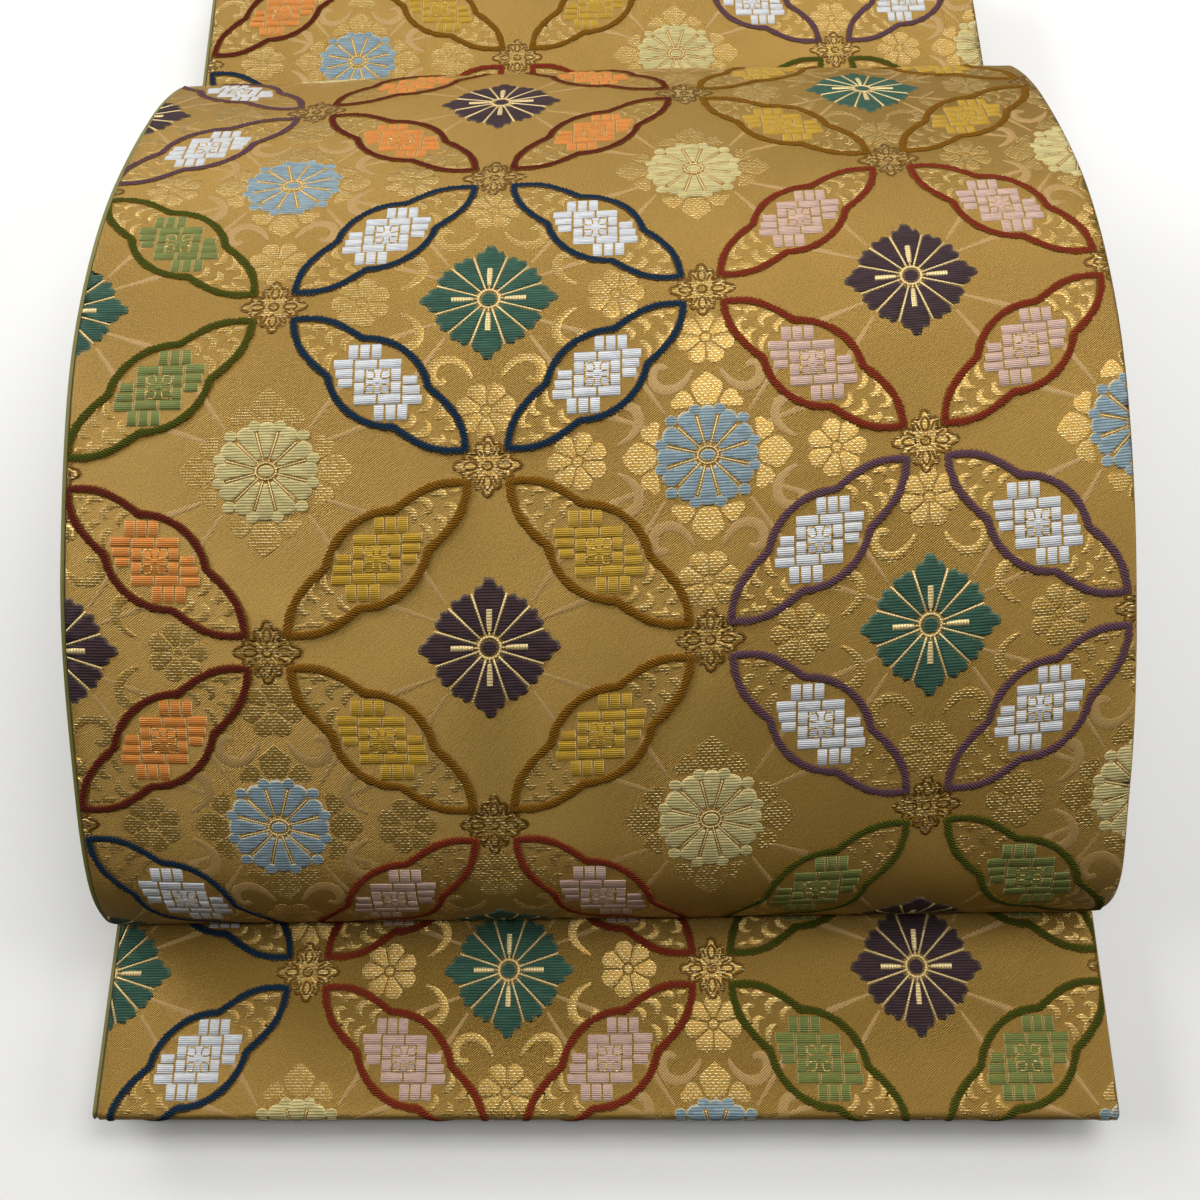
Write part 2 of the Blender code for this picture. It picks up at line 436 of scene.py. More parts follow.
class Relief:
    """A raised pattern, shaped flat as (across, up, out) before the cloth is bent."""

    # How far the foot of a rounded shape and of a flat one lies under the face.
    FOOT, FLAT_FOOT = -0.12 * MM, -0.01 * MM
    # Half a band's section: shares of its half width and of its height, which its foot doesn't have.
    ROUND_SECTION = ((0.96, None), (0.92, 0.5), (0.42, 0.97))
    FLAT_SECTION = ((1.0, None), (0.9, 1.0))
    # How far from its open end a band is at full height, and how high the end is.
    END_EASE, FLAT_END_EASE = 0.3 * MM, 0.12 * MM
    END_HEIGHT = 0.15
    SHARPEST_MITRE = 0.62
    # How the tufts of a frayed band step in and out, and how much they stand up.
    TUFT, TUFT_LIFT = 0.9, 0.3
    # How far in from its edge a pad reaches its height, and the height on the way there.
    FLAT_RIM_WIDTH = 0.25 * MM
    PAD_SHOULDER, PAD_SHOULDER_RIM = 0.8, 0.35
    # The same for a petal, as a share of its length, and how near its sides a flat one stays level.
    PETAL_EASE, FLAT_PETAL_EASE, PETAL_SHOULDER = 0.13, 0.04, 0.88
    FLAT_PETAL_SIDE = 0.94
    # How far in a block reaches its height, across and up.
    BLOCK_EASE = (0.52 * MM, 0.14 * MM)

    def __init__(self) -> None:
        """Starts with nothing."""
        self.shape = bmesh.new()
        self.uv = self.shape.loops.layers.uv.new("cloth")
        self.rim = self.shape.verts.layers.float.new("rim")

    def _foot(self, flat: bool) -> float:
        """How far out the foot of a shape lies."""
        return self.FLAT_FOOT if flat else self.FOOT

    def _grid(self, columns: int, rows: int) -> dict[tuple[int, int], bmesh.types.BMVert]:
        """A grid of this many spaces, its corners named by column and row."""
        made = bmesh.ops.create_grid(self.shape, x_segments=columns, y_segments=rows, size=0.5)
        return {
            (round((v.co.x + 0.5) * columns), round((v.co.y + 0.5) * rows)): v for v in made["verts"]
        }

    def _dress(self, grid: dict, places: dict, material: int) -> None:
        """Moves a grid's corners to their places and lays its map and material."""
        for key, vert in grid.items():
            x, y, out, _, _, rim = places[key]
            vert.co = (x, y, out)
            vert[self.rim] = rim
        keys = {vert: key for key, vert in grid.items()}
        for polygon in {face for vert in grid.values() for face in vert.link_faces}:
            polygon.material_index = material
            polygon.smooth = True
            for loop in polygon.loops:
                _, _, _, u, v, _ = places[keys[loop.vert]]
                loop[self.uv].uv = (u, v)
        bmesh.ops.remove_doubles(self.shape, verts=list(grid.values()), dist=1e-6)

    def band(
        self,
        path: Sequence[Point],
        width: float | Callable[[float], float],
        height: float,
        closed: bool = False,
        material: int = 0,
        fray: float = 0.0,
        seed: int = 0,
        flat: bool = False,
    ) -> None:
        """A band that follows a path, rounded or flat.

        Args:
            path: the band's middle line.
            width: its width, or its width at a share of its length.
            height: how far its crown stands out.
            closed: whether it comes back to its start.
            material: the index of its material.
            fray: how far its tufted edges stray.
            seed: what the fray is drawn from.
            flat: whether it is a flat weave with upright edges.
        """
        draw = random.Random(seed)
        half_section = self.FLAT_SECTION if flat else self.ROUND_SECTION
        section = [(-x, lift) for x, lift in half_section]
        section += [*reversed(half_section), (-half_section[0][0], None)]
        foot = self._foot(flat)
        if not closed:
            path = self._with_ends(path, self.FLAT_END_EASE if flat else self.END_EASE)
        count = len(path)
        rows = count if closed else count - 1
        grid = self._grid(rows, len(section) - 1)
        places, tufts = {}, []
        along = 0.0
        length = sum(math.dist(before, after) for before, after in zip(path, path[1:]))
        for i in range(rows + 1):
            here = Vector(path[i % count])
            before = Vector(path[(i - 1) % count if closed else max(0, i - 1)])
            after = Vector(path[(i + 1) % count if closed else min(count - 1, i + 1)])
            back_way, fore_way = (here - before).normalized(), (after - here).normalized()
            way = (back_way + fore_way).normalized()
            side = Vector((-way.y, way.x))
            mitre = 1 / max(self.SHARPEST_MITRE, abs(side.dot(Vector((-fore_way.y, fore_way.x))) or 1.0))
            if i:
                along += (here - Vector(path[(i - 1) % count])).length
            half = (width(min(1.0, along / length)) if callable(width) else width) / 2 * mitre
            if i < rows or not closed:
                tuft = fray * (self.TUFT if i % 2 else -self.TUFT)
                strays = [draw.uniform(-fray, fray) + tuft * math.copysign(1, x) for x, _ in section]
                tufts.append([*strays[:-1], strays[0]])
            strays = tufts[i % rows if closed else i]
            # Open ends come down to the face.
            full = closed or 0 < i < rows
            for j, (offset, lift) in enumerate(section):
                reach = half * offset + strays[j]
                spot = here + side * reach
                out = foot if lift is None else height * lift + strays[j] * self.TUFT_LIFT
                out = out if full else foot + (out - foot) * self.END_HEIGHT
                places[(i, j)] = (spot.x, spot.y, out, along, reach, 0.0 if lift is None else 1.0)
        self._dress(grid, places, material)

    @staticmethod
    def _with_ends(path: Sequence[Point], ease: float) -> list[Point]:
        """The path with a point added just inside each end."""
        found = [Vector(point) for point in path]
        first = found[0].lerp(found[1], ease / max(ease * 2, (found[1] - found[0]).length))
        last = found[-1].lerp(found[-2], ease / max(ease * 2, (found[-2] - found[-1]).length))
        return [tuple(point) for point in (found[0], first, *found[1:-1], last, found[-1])]

    def leaf(
        self,
        edge: Callable[[float], Point],
        centre: Point,
        height: float,
        around: int,
        rings: int = 2,
        material: int = 0,
        rim_width: float = 0.6 * MM,
        flat: bool = False,
    ) -> None:
        """A pad about a centre, out to an edge that is given as a point at each share round.

        Args:
            edge: gives the edge's point at a share of the way round.
            centre: the pad's middle.
            height: how far it stands out.
            around: spaces round the edge.
            rings: rings inside the rim.
            material: the index of its material.
            rim_width: how broad its rounded rim is.
            flat: whether it is a flat weave with upright edges.
        """
        rim_width = self.FLAT_RIM_WIDTH if flat else rim_width
        grid = self._grid(around, rings + 2)
        places = {}
        for i in range(around + 1):
            end = edge(i % around / around)
            inner = max(0.3, 1 - rim_width / max(math.dist(end, centre), 1e-6))
            levels = [(inner * k / rings, height, 1.0) for k in range(rings + 1)]
            levels.append(((inner + 1) / 2, height * self.PAD_SHOULDER, self.PAD_SHOULDER_RIM))
            levels.append((1.0, self._foot(flat), 0.0))
            for j, (share, out, rim) in enumerate(levels):
                x, y = (middle + (far - middle) * share for middle, far in zip(centre, end))
                places[(i, j)] = (x, y, out, x, y, rim)
        self._dress(grid, places, material)

    def fan(
        self,
        middle_degrees: float,
        half_degrees: float,
        inner: float,
        outer: Callable[[float], float],
        gap: float,
        height: float,
        columns: int = 8,
        material: int = 0,
        flat: bool = False,
    ) -> None:
        """A petal between two rays, with half a gap at each side.

        Args:
            middle_degrees: its middle ray, 0 being up and clockwise.
            half_degrees: half of its spread.
            inner: where it starts from the centre.
            outer: its reach, at a share of its spread from -1 to 1.
            gap: the line left open at each ray.
            height: how far it stands out.
            columns: spaces across it.
            material: the index of its material.
            flat: whether it is a flat weave with upright edges.
        """
        ease = self.FLAT_PETAL_EASE if flat else self.PETAL_EASE
        steps = (0.0, ease, 0.5, 1 - ease, 1.0)
        rows = len(steps) - 1
        grid = self._grid(columns, rows)
        places = {}
        half_spread, middle = math.radians(half_degrees), math.radians(middle_degrees)
        for i in range(columns + 1):
            share = 2 * i / columns - 1
            if flat and i in (1, columns - 1):
                share *= self.FLAT_PETAL_SIDE * columns / (columns - 2)
            top = outer(share)
            for j, up in enumerate(steps):
                radius = inner + (top - inner) * up
                trimmed = half_spread - math.asin(min(0.9, gap / 2 / radius))
                angle = middle + trimmed * share
                edge_here = i in (0, columns) or j in (0, rows)
                near = i in (1, columns - 1) or j in (1, rows - 1)
                out = self._foot(flat) if edge_here else height * (self.PETAL_SHOULDER if near else 1.0)
                x, y = radius * math.sin(angle), radius * math.cos(angle)
                places[(i, j)] = (x, y, out, x, y, 0.0 if edge_here else 1.0)
        self._dress(grid, places, material)

    def block(self, centre: Point, size: Point, height: float, material: int = 0) -> None:
        """A small satin-stitched block with eased edges."""
        grid = self._grid(3, 3)
        places = {}
        steps = [
            (middle - reach / 2, middle - reach / 2 + ease, middle + reach / 2 - ease, middle + reach / 2)
            for middle, reach, ease in zip(centre, size, self.BLOCK_EASE)
        ]
        for i, j in grid:
            x, y = steps[0][i], steps[1][j]
            out = height if i in (1, 2) and j in (1, 2) else self.FOOT
            places[(i, j)] = (x, y, out, x, y, 1.0 if i in (1, 2) else 0.0)
        self._dress(grid, places, material)

    def add(self, pattern: Mesh, matrix: Matrix) -> None:
        """Adds a flat pattern at its place."""
        count = len(self.shape.verts)
        self.shape.from_mesh(pattern)
        self.shape.verts.ensure_lookup_table()
        bmesh.ops.transform(self.shape, matrix=matrix, verts=self.shape.verts[count:])

    def mesh(self, name: str) -> Mesh:
        """What has been shaped so far, as a flat pattern to lay many times."""
        return finished_mesh(name, self.shape)


# Where the pattern ends: beside the edging at the left, and over the face's turned edge at the right.
PATTERN_SIDES = (0.15 * MM - CLOTH.face_half, CLOTH.face_half + 0.55 * MM)


@dataclass
class Laying:
    """One lay of a flat pattern: which, where, turned or mirrored, and in which material."""

    pattern: Mesh
    across: float
    up: float
    mirrored: bool = False
    material: int = 0


def lay_patterns(
    name: str,
    stretch: Stretch,
    layings: Sequence[Laying],
    materials: Sequence[Material],
    own_maps: tuple[int, ...],
    pattern_slots: int,
) -> Piece | None:
    """Lays flat patterns on a stretch, trims them at its edges and bends them onto it.

    Args:
        name: the new piece's name.
        stretch: the cloth that carries them.
        layings: what lies where.
        materials: the piece's materials, in runs of `pattern_slots`.
        own_maps: which materials of a run follow the pattern's own map, not the cloth's.
        pattern_slots: how many materials each pattern uses.

    Returns:
        The piece, or None where nothing of it lies on this stretch.
    """
    shape = bmesh.new()
    for laying in layings:
        count, faces = len(shape.verts), len(shape.faces)
        shape.from_mesh(laying.pattern)
        shape.verts.ensure_lookup_table()
        shape.faces.ensure_lookup_table()
        mirror = Matrix.Scale(-1, 4, Vector((1, 0, 0))) if laying.mirrored else Matrix.Identity(4)
        place = Vector((stretch.across_at(laying.across, laying.up), laying.up, 0))
        bmesh.ops.transform(shape, matrix=Matrix.Translation(place) @ mirror, verts=shape.verts[count:])
        for polygon in shape.faces[faces:]:
            polygon.material_index += laying.material * pattern_slots
    if not shape.faces:
        shape.free()
        return None
    left, right = PATTERN_SIDES
    for point, normal in (
        ((right, 0, 0), (1, 0, 0)),
        ((left, 0, 0), (-1, 0, 0)),
        ((0, stretch.origin - stretch.first, 0), (0, 1, 0)),
        ((0, stretch.origin - stretch.last, 0), (0, -1, 0)),
    ):
        geometry = [*shape.verts, *shape.edges, *shape.faces]
        bmesh.ops.bisect_plane(
            shape, geom=geometry, dist=SAME_POINT, plane_co=point, plane_no=normal, clear_outer=True
        )
    if not shape.faces:
        shape.free()
        return None
    bmesh.ops.holes_fill(shape, edges=[edge for edge in shape.edges if edge.is_boundary], sides=0)
    bmesh.ops.recalc_face_normals(shape, faces=shape.faces)
    uv = shape.loops.layers.uv["cloth"]
    for polygon in shape.faces:
        if polygon.material_index % pattern_slots not in own_maps:
            for loop in polygon.loops:
                loop[uv].uv = loop.vert.co.xy
    cuts = stretch.bend_cuts()
    if cuts:
        low, high = min(cuts), max(cuts)
        faces = [face for face in shape.faces if any(low < vert.co.y < high for vert in face.verts)]
        edges = list(dict.fromkeys(edge for face in faces for edge in face.edges))
        bent = [*dict.fromkeys(vert for edge in edges for vert in edge.verts), *edges, *faces]
        for up in cuts:
            cut = bmesh.ops.bisect_plane(
                shape, geom=bent, dist=SAME_POINT, plane_co=(0, up, 0), plane_no=(0, 1, 0)
            )
            bent = cut["geom"]
    for vert in shape.verts:
        vert.co = stretch.pattern_point(*vert.co)
    return new_object(name, shape, materials)


# ---- the woven pattern


def curve_points(corners: Sequence[Point], steps: int) -> list[Point]:
    """Points on one Bezier curve, without its last."""
    a, b, c, d = (Vector(corner) for corner in corners)
    found = []
    for i in range(steps):
        t = i / steps
        point = a * (1 - t) ** 3 + b * 3 * t * (1 - t) ** 2 + c * 3 * t * t * (1 - t) + d * t**3
        found.append((point.x, point.y))
    return found


def outline_edge(points: Sequence[Point], centre: Point) -> Callable[[float], Point]:
    """The edge of a shape whose every point can be seen from its centre.

    Args:
        points: the outline's corners, in order.
        centre: the point inside.

    Returns:
        A function that gives the edge's point at a share of the way round.
    """
    corners = [Vector(point) - Vector(centre) for point in points]

    def edge(share: float) -> Point:
        """Where a ray at this share of a turn meets the outline."""
        angle = share * math.tau
        ray = Vector((math.sin(angle), math.cos(angle)))
        for a, b in zip(corners, [*corners[1:], corners[0]]):
            cross = a.x * (b.y - a.y) - a.y * (b.x - a.x)
            below = ray.x * (b.y - a.y) - ray.y * (b.x - a.x)
            if abs(below) < 1e-12:
                continue
            spot = ray * (cross / below)
            along = (spot - a).dot(b - a) / max((b - a).length_squared, 1e-18)
            if cross / below > 0 and -1e-6 <= along <= 1 + 1e-6:
                return (centre[0] + spot.x, centre[1] + spot.y)
        return centre

    return edge


def mirrored(points: Sequence[Point]) -> list[Point]:
    """An outline's right half with its left half added, its first and last on the axis."""
    return [*points, *[(-x, y) for x, y in reversed(points[1:-1])]]


def turned(points: Iterable[Point], angle: float, scale: float = 1.0) -> list[Point]:
    """The points scaled and turned anticlockwise about the centre."""
    turn = Matrix.Rotation(angle, 2)
    return [tuple(turn @ Vector((x * scale, y * scale))) for x, y in points]


def ray_points(degrees: float, distances: Sequence[float]) -> list[Point]:
    """Points on a ray, nought degrees being up and clockwise."""
    angle = math.radians(degrees)
    return [(r * math.sin(angle), r * math.cos(angle)) for r in distances]


def round_point(wide: float, tall: float, share: float) -> Point:
    """A point on an oval, at a share of the way round."""
    return (wide * math.sin(share * math.tau), tall * math.cos(share * math.tau))


def round_path(oval: Point, count: int, middle: Point = (0.0, 0.0)) -> list[Point]:
    """So many points round an oval of these half-breadths."""
    points = (round_point(*oval, i / count) for i in range(count))
    return [(middle[0] + x, middle[1] + y) for x, y in points]


@dataclass(frozen=True)
class Yarns:
    """The two silks of a petal: its outline's and its blocks'."""

    outline: Colour
    blocks: Colour


class Silk(Enum):
    """The colour sets of the petals."""

    MAUVE_WHITE = Yarns(dyed(92, 64, 76), dyed(224, 225, 226))
    RUST_ORANGE = Yarns(dyed(92, 30, 18), dyed(228, 140, 50))
    OCHRE_GOLD = Yarns(dyed(122, 80, 8), dyed(198, 154, 22))
    GREEN_GREEN = Yarns(dyed(68, 74, 14), dyed(124, 134, 60))
    NAVY_WHITE = Yarns(dyed(16, 43, 64), dyed(226, 228, 230))
    RUST_PINK = Yarns(dyed(122, 42, 22), dyed(216, 180, 162))


class Bloom(Enum):
    """The colours of the medallions and of the chrysanthemums."""

    PURPLE = dyed(58, 41, 45)
    GREEN = dyed(50, 84, 68)
    BLUE = dyed(128, 147, 154)
    BEIGE = dyed(188, 174, 118)


@dataclass(frozen=True)
class Lattice:
    """The repeat of interlocking circles: its pitches, its columns and its colour order."""

    column_pitch: float = 63.5 * MM
    row_pitch: float = 52.4 * MM
    first_column: float = -159 * MM
    columns: int = 6
    row_of_first_circle: int = 6
    circle_orders: tuple[tuple[Silk, Silk, Silk], ...] = (
        (Silk.MAUVE_WHITE, Silk.RUST_ORANGE, Silk.OCHRE_GOLD),
        (Silk.GREEN_GREEN, Silk.NAVY_WHITE, Silk.RUST_PINK),
    )
    medallion_orders: tuple[tuple[Bloom, Bloom, Bloom], ...] = (
        (Bloom.PURPLE, Bloom.PURPLE, Bloom.GREEN),
        (Bloom.GREEN, Bloom.GREEN, Bloom.PURPLE),
    )
    kiku_orders: tuple[tuple[Bloom, Bloom, Bloom], ...] = (
        (Bloom.BLUE, Bloom.BEIGE, Bloom.BEIGE),
        (Bloom.BEIGE, Bloom.BLUE, Bloom.BLUE),
    )

    def across(self, column: int) -> float:
        """A column's place across the cloth."""
        return self.first_column + column * self.column_pitch

    def up(self, row: int) -> float:
        """A row's place up the cloth."""
        return row * self.row_pitch

    def circle_silk(self, column: int, row: int) -> Silk:
        """The colour set of the circle about an even column and row."""
        down = (self.row_of_first_circle - row) // 2
        return self.circle_orders[down % 2][(column // 2 + down // 2) % 3]

    def medallion(self, column: int, row: int) -> Bloom:
        """The colour of the medallion there."""
        return self.medallion_orders[(self.row_of_first_circle - row) // 2 % 2][column // 2 % 3]

    def kiku(self, column: int, row: int) -> Bloom:
        """The colour of the chrysanthemum there."""
        return self.kiku_orders[(self.row_of_first_circle - row - 1) // 2 % 2][column // 2 % 3]

    def is_rich(self, column: int, row: int) -> bool:
        """Whether gold palmettes surround this centre, as on every other diagonal."""
        return (column - (self.row_of_first_circle - row)) % 4 == 0


@dataclass(frozen=True)
class Petal:
    """A petal of the circles: a cusped outline in raised yarn, and blocks within."""

    half_across: float = 25.7 * MM
    half_up: float = 21.3 * MM
    band_width: float = 2.5 * MM
    band_height: float = 0.46 * MM
    fray: float = 0.17 * MM
    cusp: Point = (12.6 * MM, 7.7 * MM)
    lobe: Point = (5.5 * MM, 13.7 * MM)
    block_height: float = 0.16 * MM
    # The blocks of one half, in millimetres: (across, up, width, height). The other is this turned round.
    blocks: tuple[tuple[float, float, float, float], ...] = (
        (0.6, 9.6, 3.3, 4.9), (4.0, 9.6, 3.3, 4.9), (7.4, 9.6, 3.3, 4.9), (9.4, -0.12, 4.6, 2.9),
        (9.85, 2.9, 5.5, 2.9), (10.15, 5.92, 6.1, 2.9), (3.52, 5.5, 6.95, 3.1), (-3.52, 5.5, 6.95, 3.1),
        (5.3, 2.08, 3.3, 3.9), (-5.3, 2.08, 3.3, 3.9),
    )
    # The blocks at the middle: width and height in millimetres, and the share of the others' height.
    middle_blocks: tuple[tuple[float, float, float], ...] = ((7.4, 7.9, 0.8), (1.9, 1.6, 1.2))
    # Half a leaf of the small flower on them: (degrees from its middle, millimetres from the centre).
    heart_leaf: tuple[Point, ...] = ((4, 1.4), (24, 2.6), (24, 3.9), (3, 4.7))
    # The strokes that fill a tip: a curve about the petal's axis, and its breadth, in millimetres.
    tip_strokes: tuple[tuple[tuple[Point, Point, Point, Point], float], ...] = (
        (((13.9, -6.2), (16.2, -5.2), (17.4, -2.6), (15.6, -0.4)), 2.3),
        (((14.2, 1.4), (16.4, 2.0), (17.2, 4.4), (14.8, 6.4)), 2.2),
        (((17.4, -6.4), (21.4, -6.6), (22.6, -2.8), (19.6, -1.4)), 2.6),
        (((18.4, 0.6), (21.8, 0.4), (22.4, 4.8), (18.2, 6.0)), 2.5),
        (((21.4, -5.2), (26.6, -4.8), (27.4, -1.6), (24.0, -0.6)), 2.3),
        (((23.2, 3.8), (26.0, 3.6), (27.8, 1.6), (25.0, 0.8)), 2.2),
        (((27.4, 1.2), (28.8, 1.0), (29.6, 0.0), (30.6, 0.2)), 1.8),
    )

    @property
    def lean(self) -> float:
        """The angle at which its axis rises."""
        return math.atan2(self.half_up, self.half_across)

    def side(self) -> list[Point]:
        """One side from tip to tip, about the petal's own axis."""
        tip = math.hypot(self.half_across, self.half_up)
        (cusp_x, cusp_y), (lobe_x, lobe_y) = self.cusp, self.lobe
        rise, fall = (-tip + 6.8 * MM, 7.3 * MM), (-cusp_x - 8 * MM, cusp_y - 0.5 * MM)
        first = ((-tip, 0.0), rise, fall, (-cusp_x, cusp_y))
        middle = ((-cusp_x, cusp_y), (-lobe_x, lobe_y), (lobe_x, lobe_y), (cusp_x, cusp_y))
        last = tuple((-x, y) for x, y in reversed(first))
        return curve_points(first, 34) + curve_points(middle, 42) + curve_points(last, 34)

    def outline_pattern(self, seed: int) -> Mesh:
        """The yarn outline of a petal that runs from lower left to upper right."""
        upper = self.side()
        path = turned([*upper, *((-x, -y) for x, y in upper)], self.lean)

        def width(share: float) -> float:
            """The yarn's width, a little uneven."""
            turn = share * math.tau
            uneven = 0.06 * math.sin(9 * turn + seed) + 0.05 * math.sin(23 * turn + 2 * seed)
            return self.band_width * (1 + uneven)

        relief = Relief()
        relief.band(path, width, self.band_height, closed=True, fray=self.fray, seed=seed)
        return relief.mesh(f"petal_outline_{seed}")

    def block_pattern(self) -> Mesh:
        """The satin blocks of a petal that runs from lower left to upper right."""
        relief = Relief()
        for sign in (MM, -MM):
            for across, up, width, tall in self.blocks:
                relief.block((sign * across, sign * up), (width * MM, tall * MM), self.block_height)
        for width, tall, share in self.middle_blocks:
            relief.block((0.0, 0.0), (width * MM, tall * MM), self.block_height * share)
        return relief.mesh("petal_blocks")

    def gold_pattern(self) -> Mesh:
        """The gold strokes that fill each tip."""
        relief = Relief()
        for turn in (0.0, math.pi):
            for corners, width in self.tip_strokes:
                stroke = turned(curve_points(corners, 5) + [corners[-1]], self.lean + turn, MM)

                def taper(share: float, width: float = width) -> float:
                    """Broad at its middle."""
                    return (0.7 + 4 * (width - 0.7) * share * (1 - share)) * MM

                relief.band(stroke, taper, LAME_HEIGHT, flat=True)
        return relief.mesh("petal_gold")

    def heart_pattern(self) -> Mesh:
        """The small gold-threaded flower at the middle of the blocks."""
        relief = Relief()
        height = self.block_height + 0.06 * MM
        for middle in (45, 135, 225, 315):
            for side in (1, -1):
                path = [ray_points(middle + side * off, (reach * MM,))[0] for off, reach in self.heart_leaf]
                relief.band(path, 0.5 * MM, height)
        return relief.mesh("petal_heart")


def smoothed(knots: Sequence[Point], value: float) -> float:
    """The height of a soft line through these knots, mirrored about nought."""
    off = abs(value)
    for (low, first), (high, second) in zip(knots, knots[1:]):
        if off <= high:
            share = (off - low) / (high - low)
            return first + (second - first) * share * share * (3 - 2 * share)
    return knots[-1][1]


def add_heart(relief: Relief, disc: Point, height: float, ring: Point, thread: Point) -> None:
    """Adds a flower's round middle, and the ring of gold thread about it.

    Args:
        relief: the flower.
        disc: the middle's half-breadths.
        height: how far it stands out.
        ring: the ring's half-breadths.
        thread: the ring's width and height.
    """
    relief.leaf(lambda share: round_point(*disc, share), (0.0, 0.0), height, 12, rings=1)
    relief.band(round_path(ring, 20), *thread, closed=True, material=1)


@dataclass(frozen=True)
class Medallion:
    """A lozenge-shaped flower of twelve petals with small gold bars."""

    # The petals' ends: (degrees from the petal's middle, millimetres from the centre).
    knobbed_end: tuple[Point, ...] = (
        (0.0, 21.1), (3.6, 20.9), (6.8, 18.8), (8.4, 18.5), (12.0, 18.7), (18.0, 16.6),
    )
    lobed_end: tuple[Point, ...] = ((0.0, 17.0), (6.6, 17.9), (13.5, 16.5))
    inner: float = 3.5 * MM
    gap: float = 0.62 * MM
    disc: Point = (2.5 * MM, 2.5 * MM)
    height: float = 0.34 * MM
    fray: float = 0.22 * MM
    # The gold threads, by their points or half-breadths, and each one's width and height.
    ray_degrees: tuple[float, ...] = (18.0, 45.0, 72.0)
    ray: tuple[float, ...] = (3.2 * MM, 9 * MM, 16.4 * MM)
    ray_thread: Point = (0.66 * MM, 0.36 * MM)
    bar: tuple[float, ...] = (4.6 * MM, 5.1 * MM, 7.9 * MM, 10.8 * MM, 11.2 * MM)
    bar_thread: Point = (1.9 * MM, 0.62 * MM)
    stem: tuple[float, ...] = (3.0 * MM, 3.8 * MM, 4.7 * MM)
    stem_thread: Point = (0.5 * MM, 0.5 * MM)
    ring: Point = (3.15 * MM, 3.15 * MM)
    ring_thread: Point = (0.75 * MM, 0.42 * MM)

    def pattern(self) -> Mesh:
        """The whole flower: material 0 is its silk and 1 its gold thread."""
        relief = Relief()
        draw = random.Random(11)
        first, second, third = self.ray_degrees

        def end(knots: Sequence[Point], half_degrees: float) -> Callable[[float], float]:
            """A petal's ragged end."""
            return lambda share: smoothed(knots, share * half_degrees) * MM + draw.uniform(-1, 1) * self.fray

        for quarter in range(4):
            turn = 90 * quarter
            knobbed = end(self.knobbed_end, first)
            relief.fan(turn, first, self.inner, knobbed, self.gap, self.height, columns=20)
            for low, high in ((first, second), (second, third)):
                middle, half = turn + (low + high) / 2, (high - low) / 2
                lobed = end(self.lobed_end, half)
                relief.fan(middle, half, self.inner, lobed, self.gap, self.height, columns=12)
            for ray in self.ray_degrees:
                relief.band(ray_points(turn + ray, self.ray), *self.ray_thread, material=1)
            width, height = self.bar_thread

            def taper(share: float, width: float = width) -> float:
                """Narrower at its inner end."""
                return width * (0.62 + 0.38 * min(1, share * 3))

            relief.band(ray_points(turn, self.bar), taper, height, material=1)
            relief.band(ray_points(turn, self.stem), *self.stem_thread, material=1)
        add_heart(relief, self.disc, self.height, self.ring, self.ring_thread)
        return relief.mesh("medallion")


@dataclass(frozen=True)
class Kiku:
    """A round chrysanthemum: twelve petals, and twelve tips of the row behind them."""

    reach: float = 15.4 * MM
    inner: float = 3.2 * MM
    gap: float = 0.8 * MM
    height: float = 0.3 * MM
    # How far the tips between the petals reach, at the corners and elsewhere.
    corner_tip: float = 14.9 * MM
    other_tip: float = 14.0 * MM
    tip_size: Point = (2.0 * MM, 1.85 * MM)
    tip_share: float = 0.7
    rounding: float = 3.1 * MM
    disc: Point = (2.4 * MM, 1.9 * MM)
    # The gold threads, by their points or half-breadths, and each one's width and height.
    ray: tuple[float, ...] = (2.9 * MM, 7 * MM, 12.2 * MM)
    ray_thread: Point = (0.42 * MM, 0.2 * MM)
    ring: Point = (2.95 * MM, 2.5 * MM)
    ring_thread: Point = (0.46 * MM, 0.3 * MM)

    def petal_reach(self, share: float) -> float:
        """The rounded end of a petal."""
        return self.reach - self.rounding * (1 - math.sqrt(max(0.0, 1 - 0.97 * share * share)))

    def pattern(self) -> Mesh:
        """The whole flower: material 0 is its silk and 1 its gold thread."""
        relief = Relief()
        for i in range(12):
            relief.fan(30 * i, 15, self.inner, self.petal_reach, self.gap, self.height, columns=10)
            degrees = 30 * i + 15
            reach = self.corner_tip if i % 3 == 1 else self.other_tip
            centre = ray_points(degrees, (reach,))[0]

            def tip(share: float, middle: Point = centre) -> Point:
                """The edge of a small rounded tip."""
                x, y = round_point(*self.tip_size, share)
                return (middle[0] + x, middle[1] + y)

            relief.leaf(tip, centre, self.height * self.tip_share, 8, rings=1, rim_width=0.4 * MM)
            relief.band(ray_points(degrees, self.ray), *self.ray_thread, material=1)
        add_heart(relief, self.disc, self.height, self.ring, self.ring_thread)
        return relief.mesh("kiku")


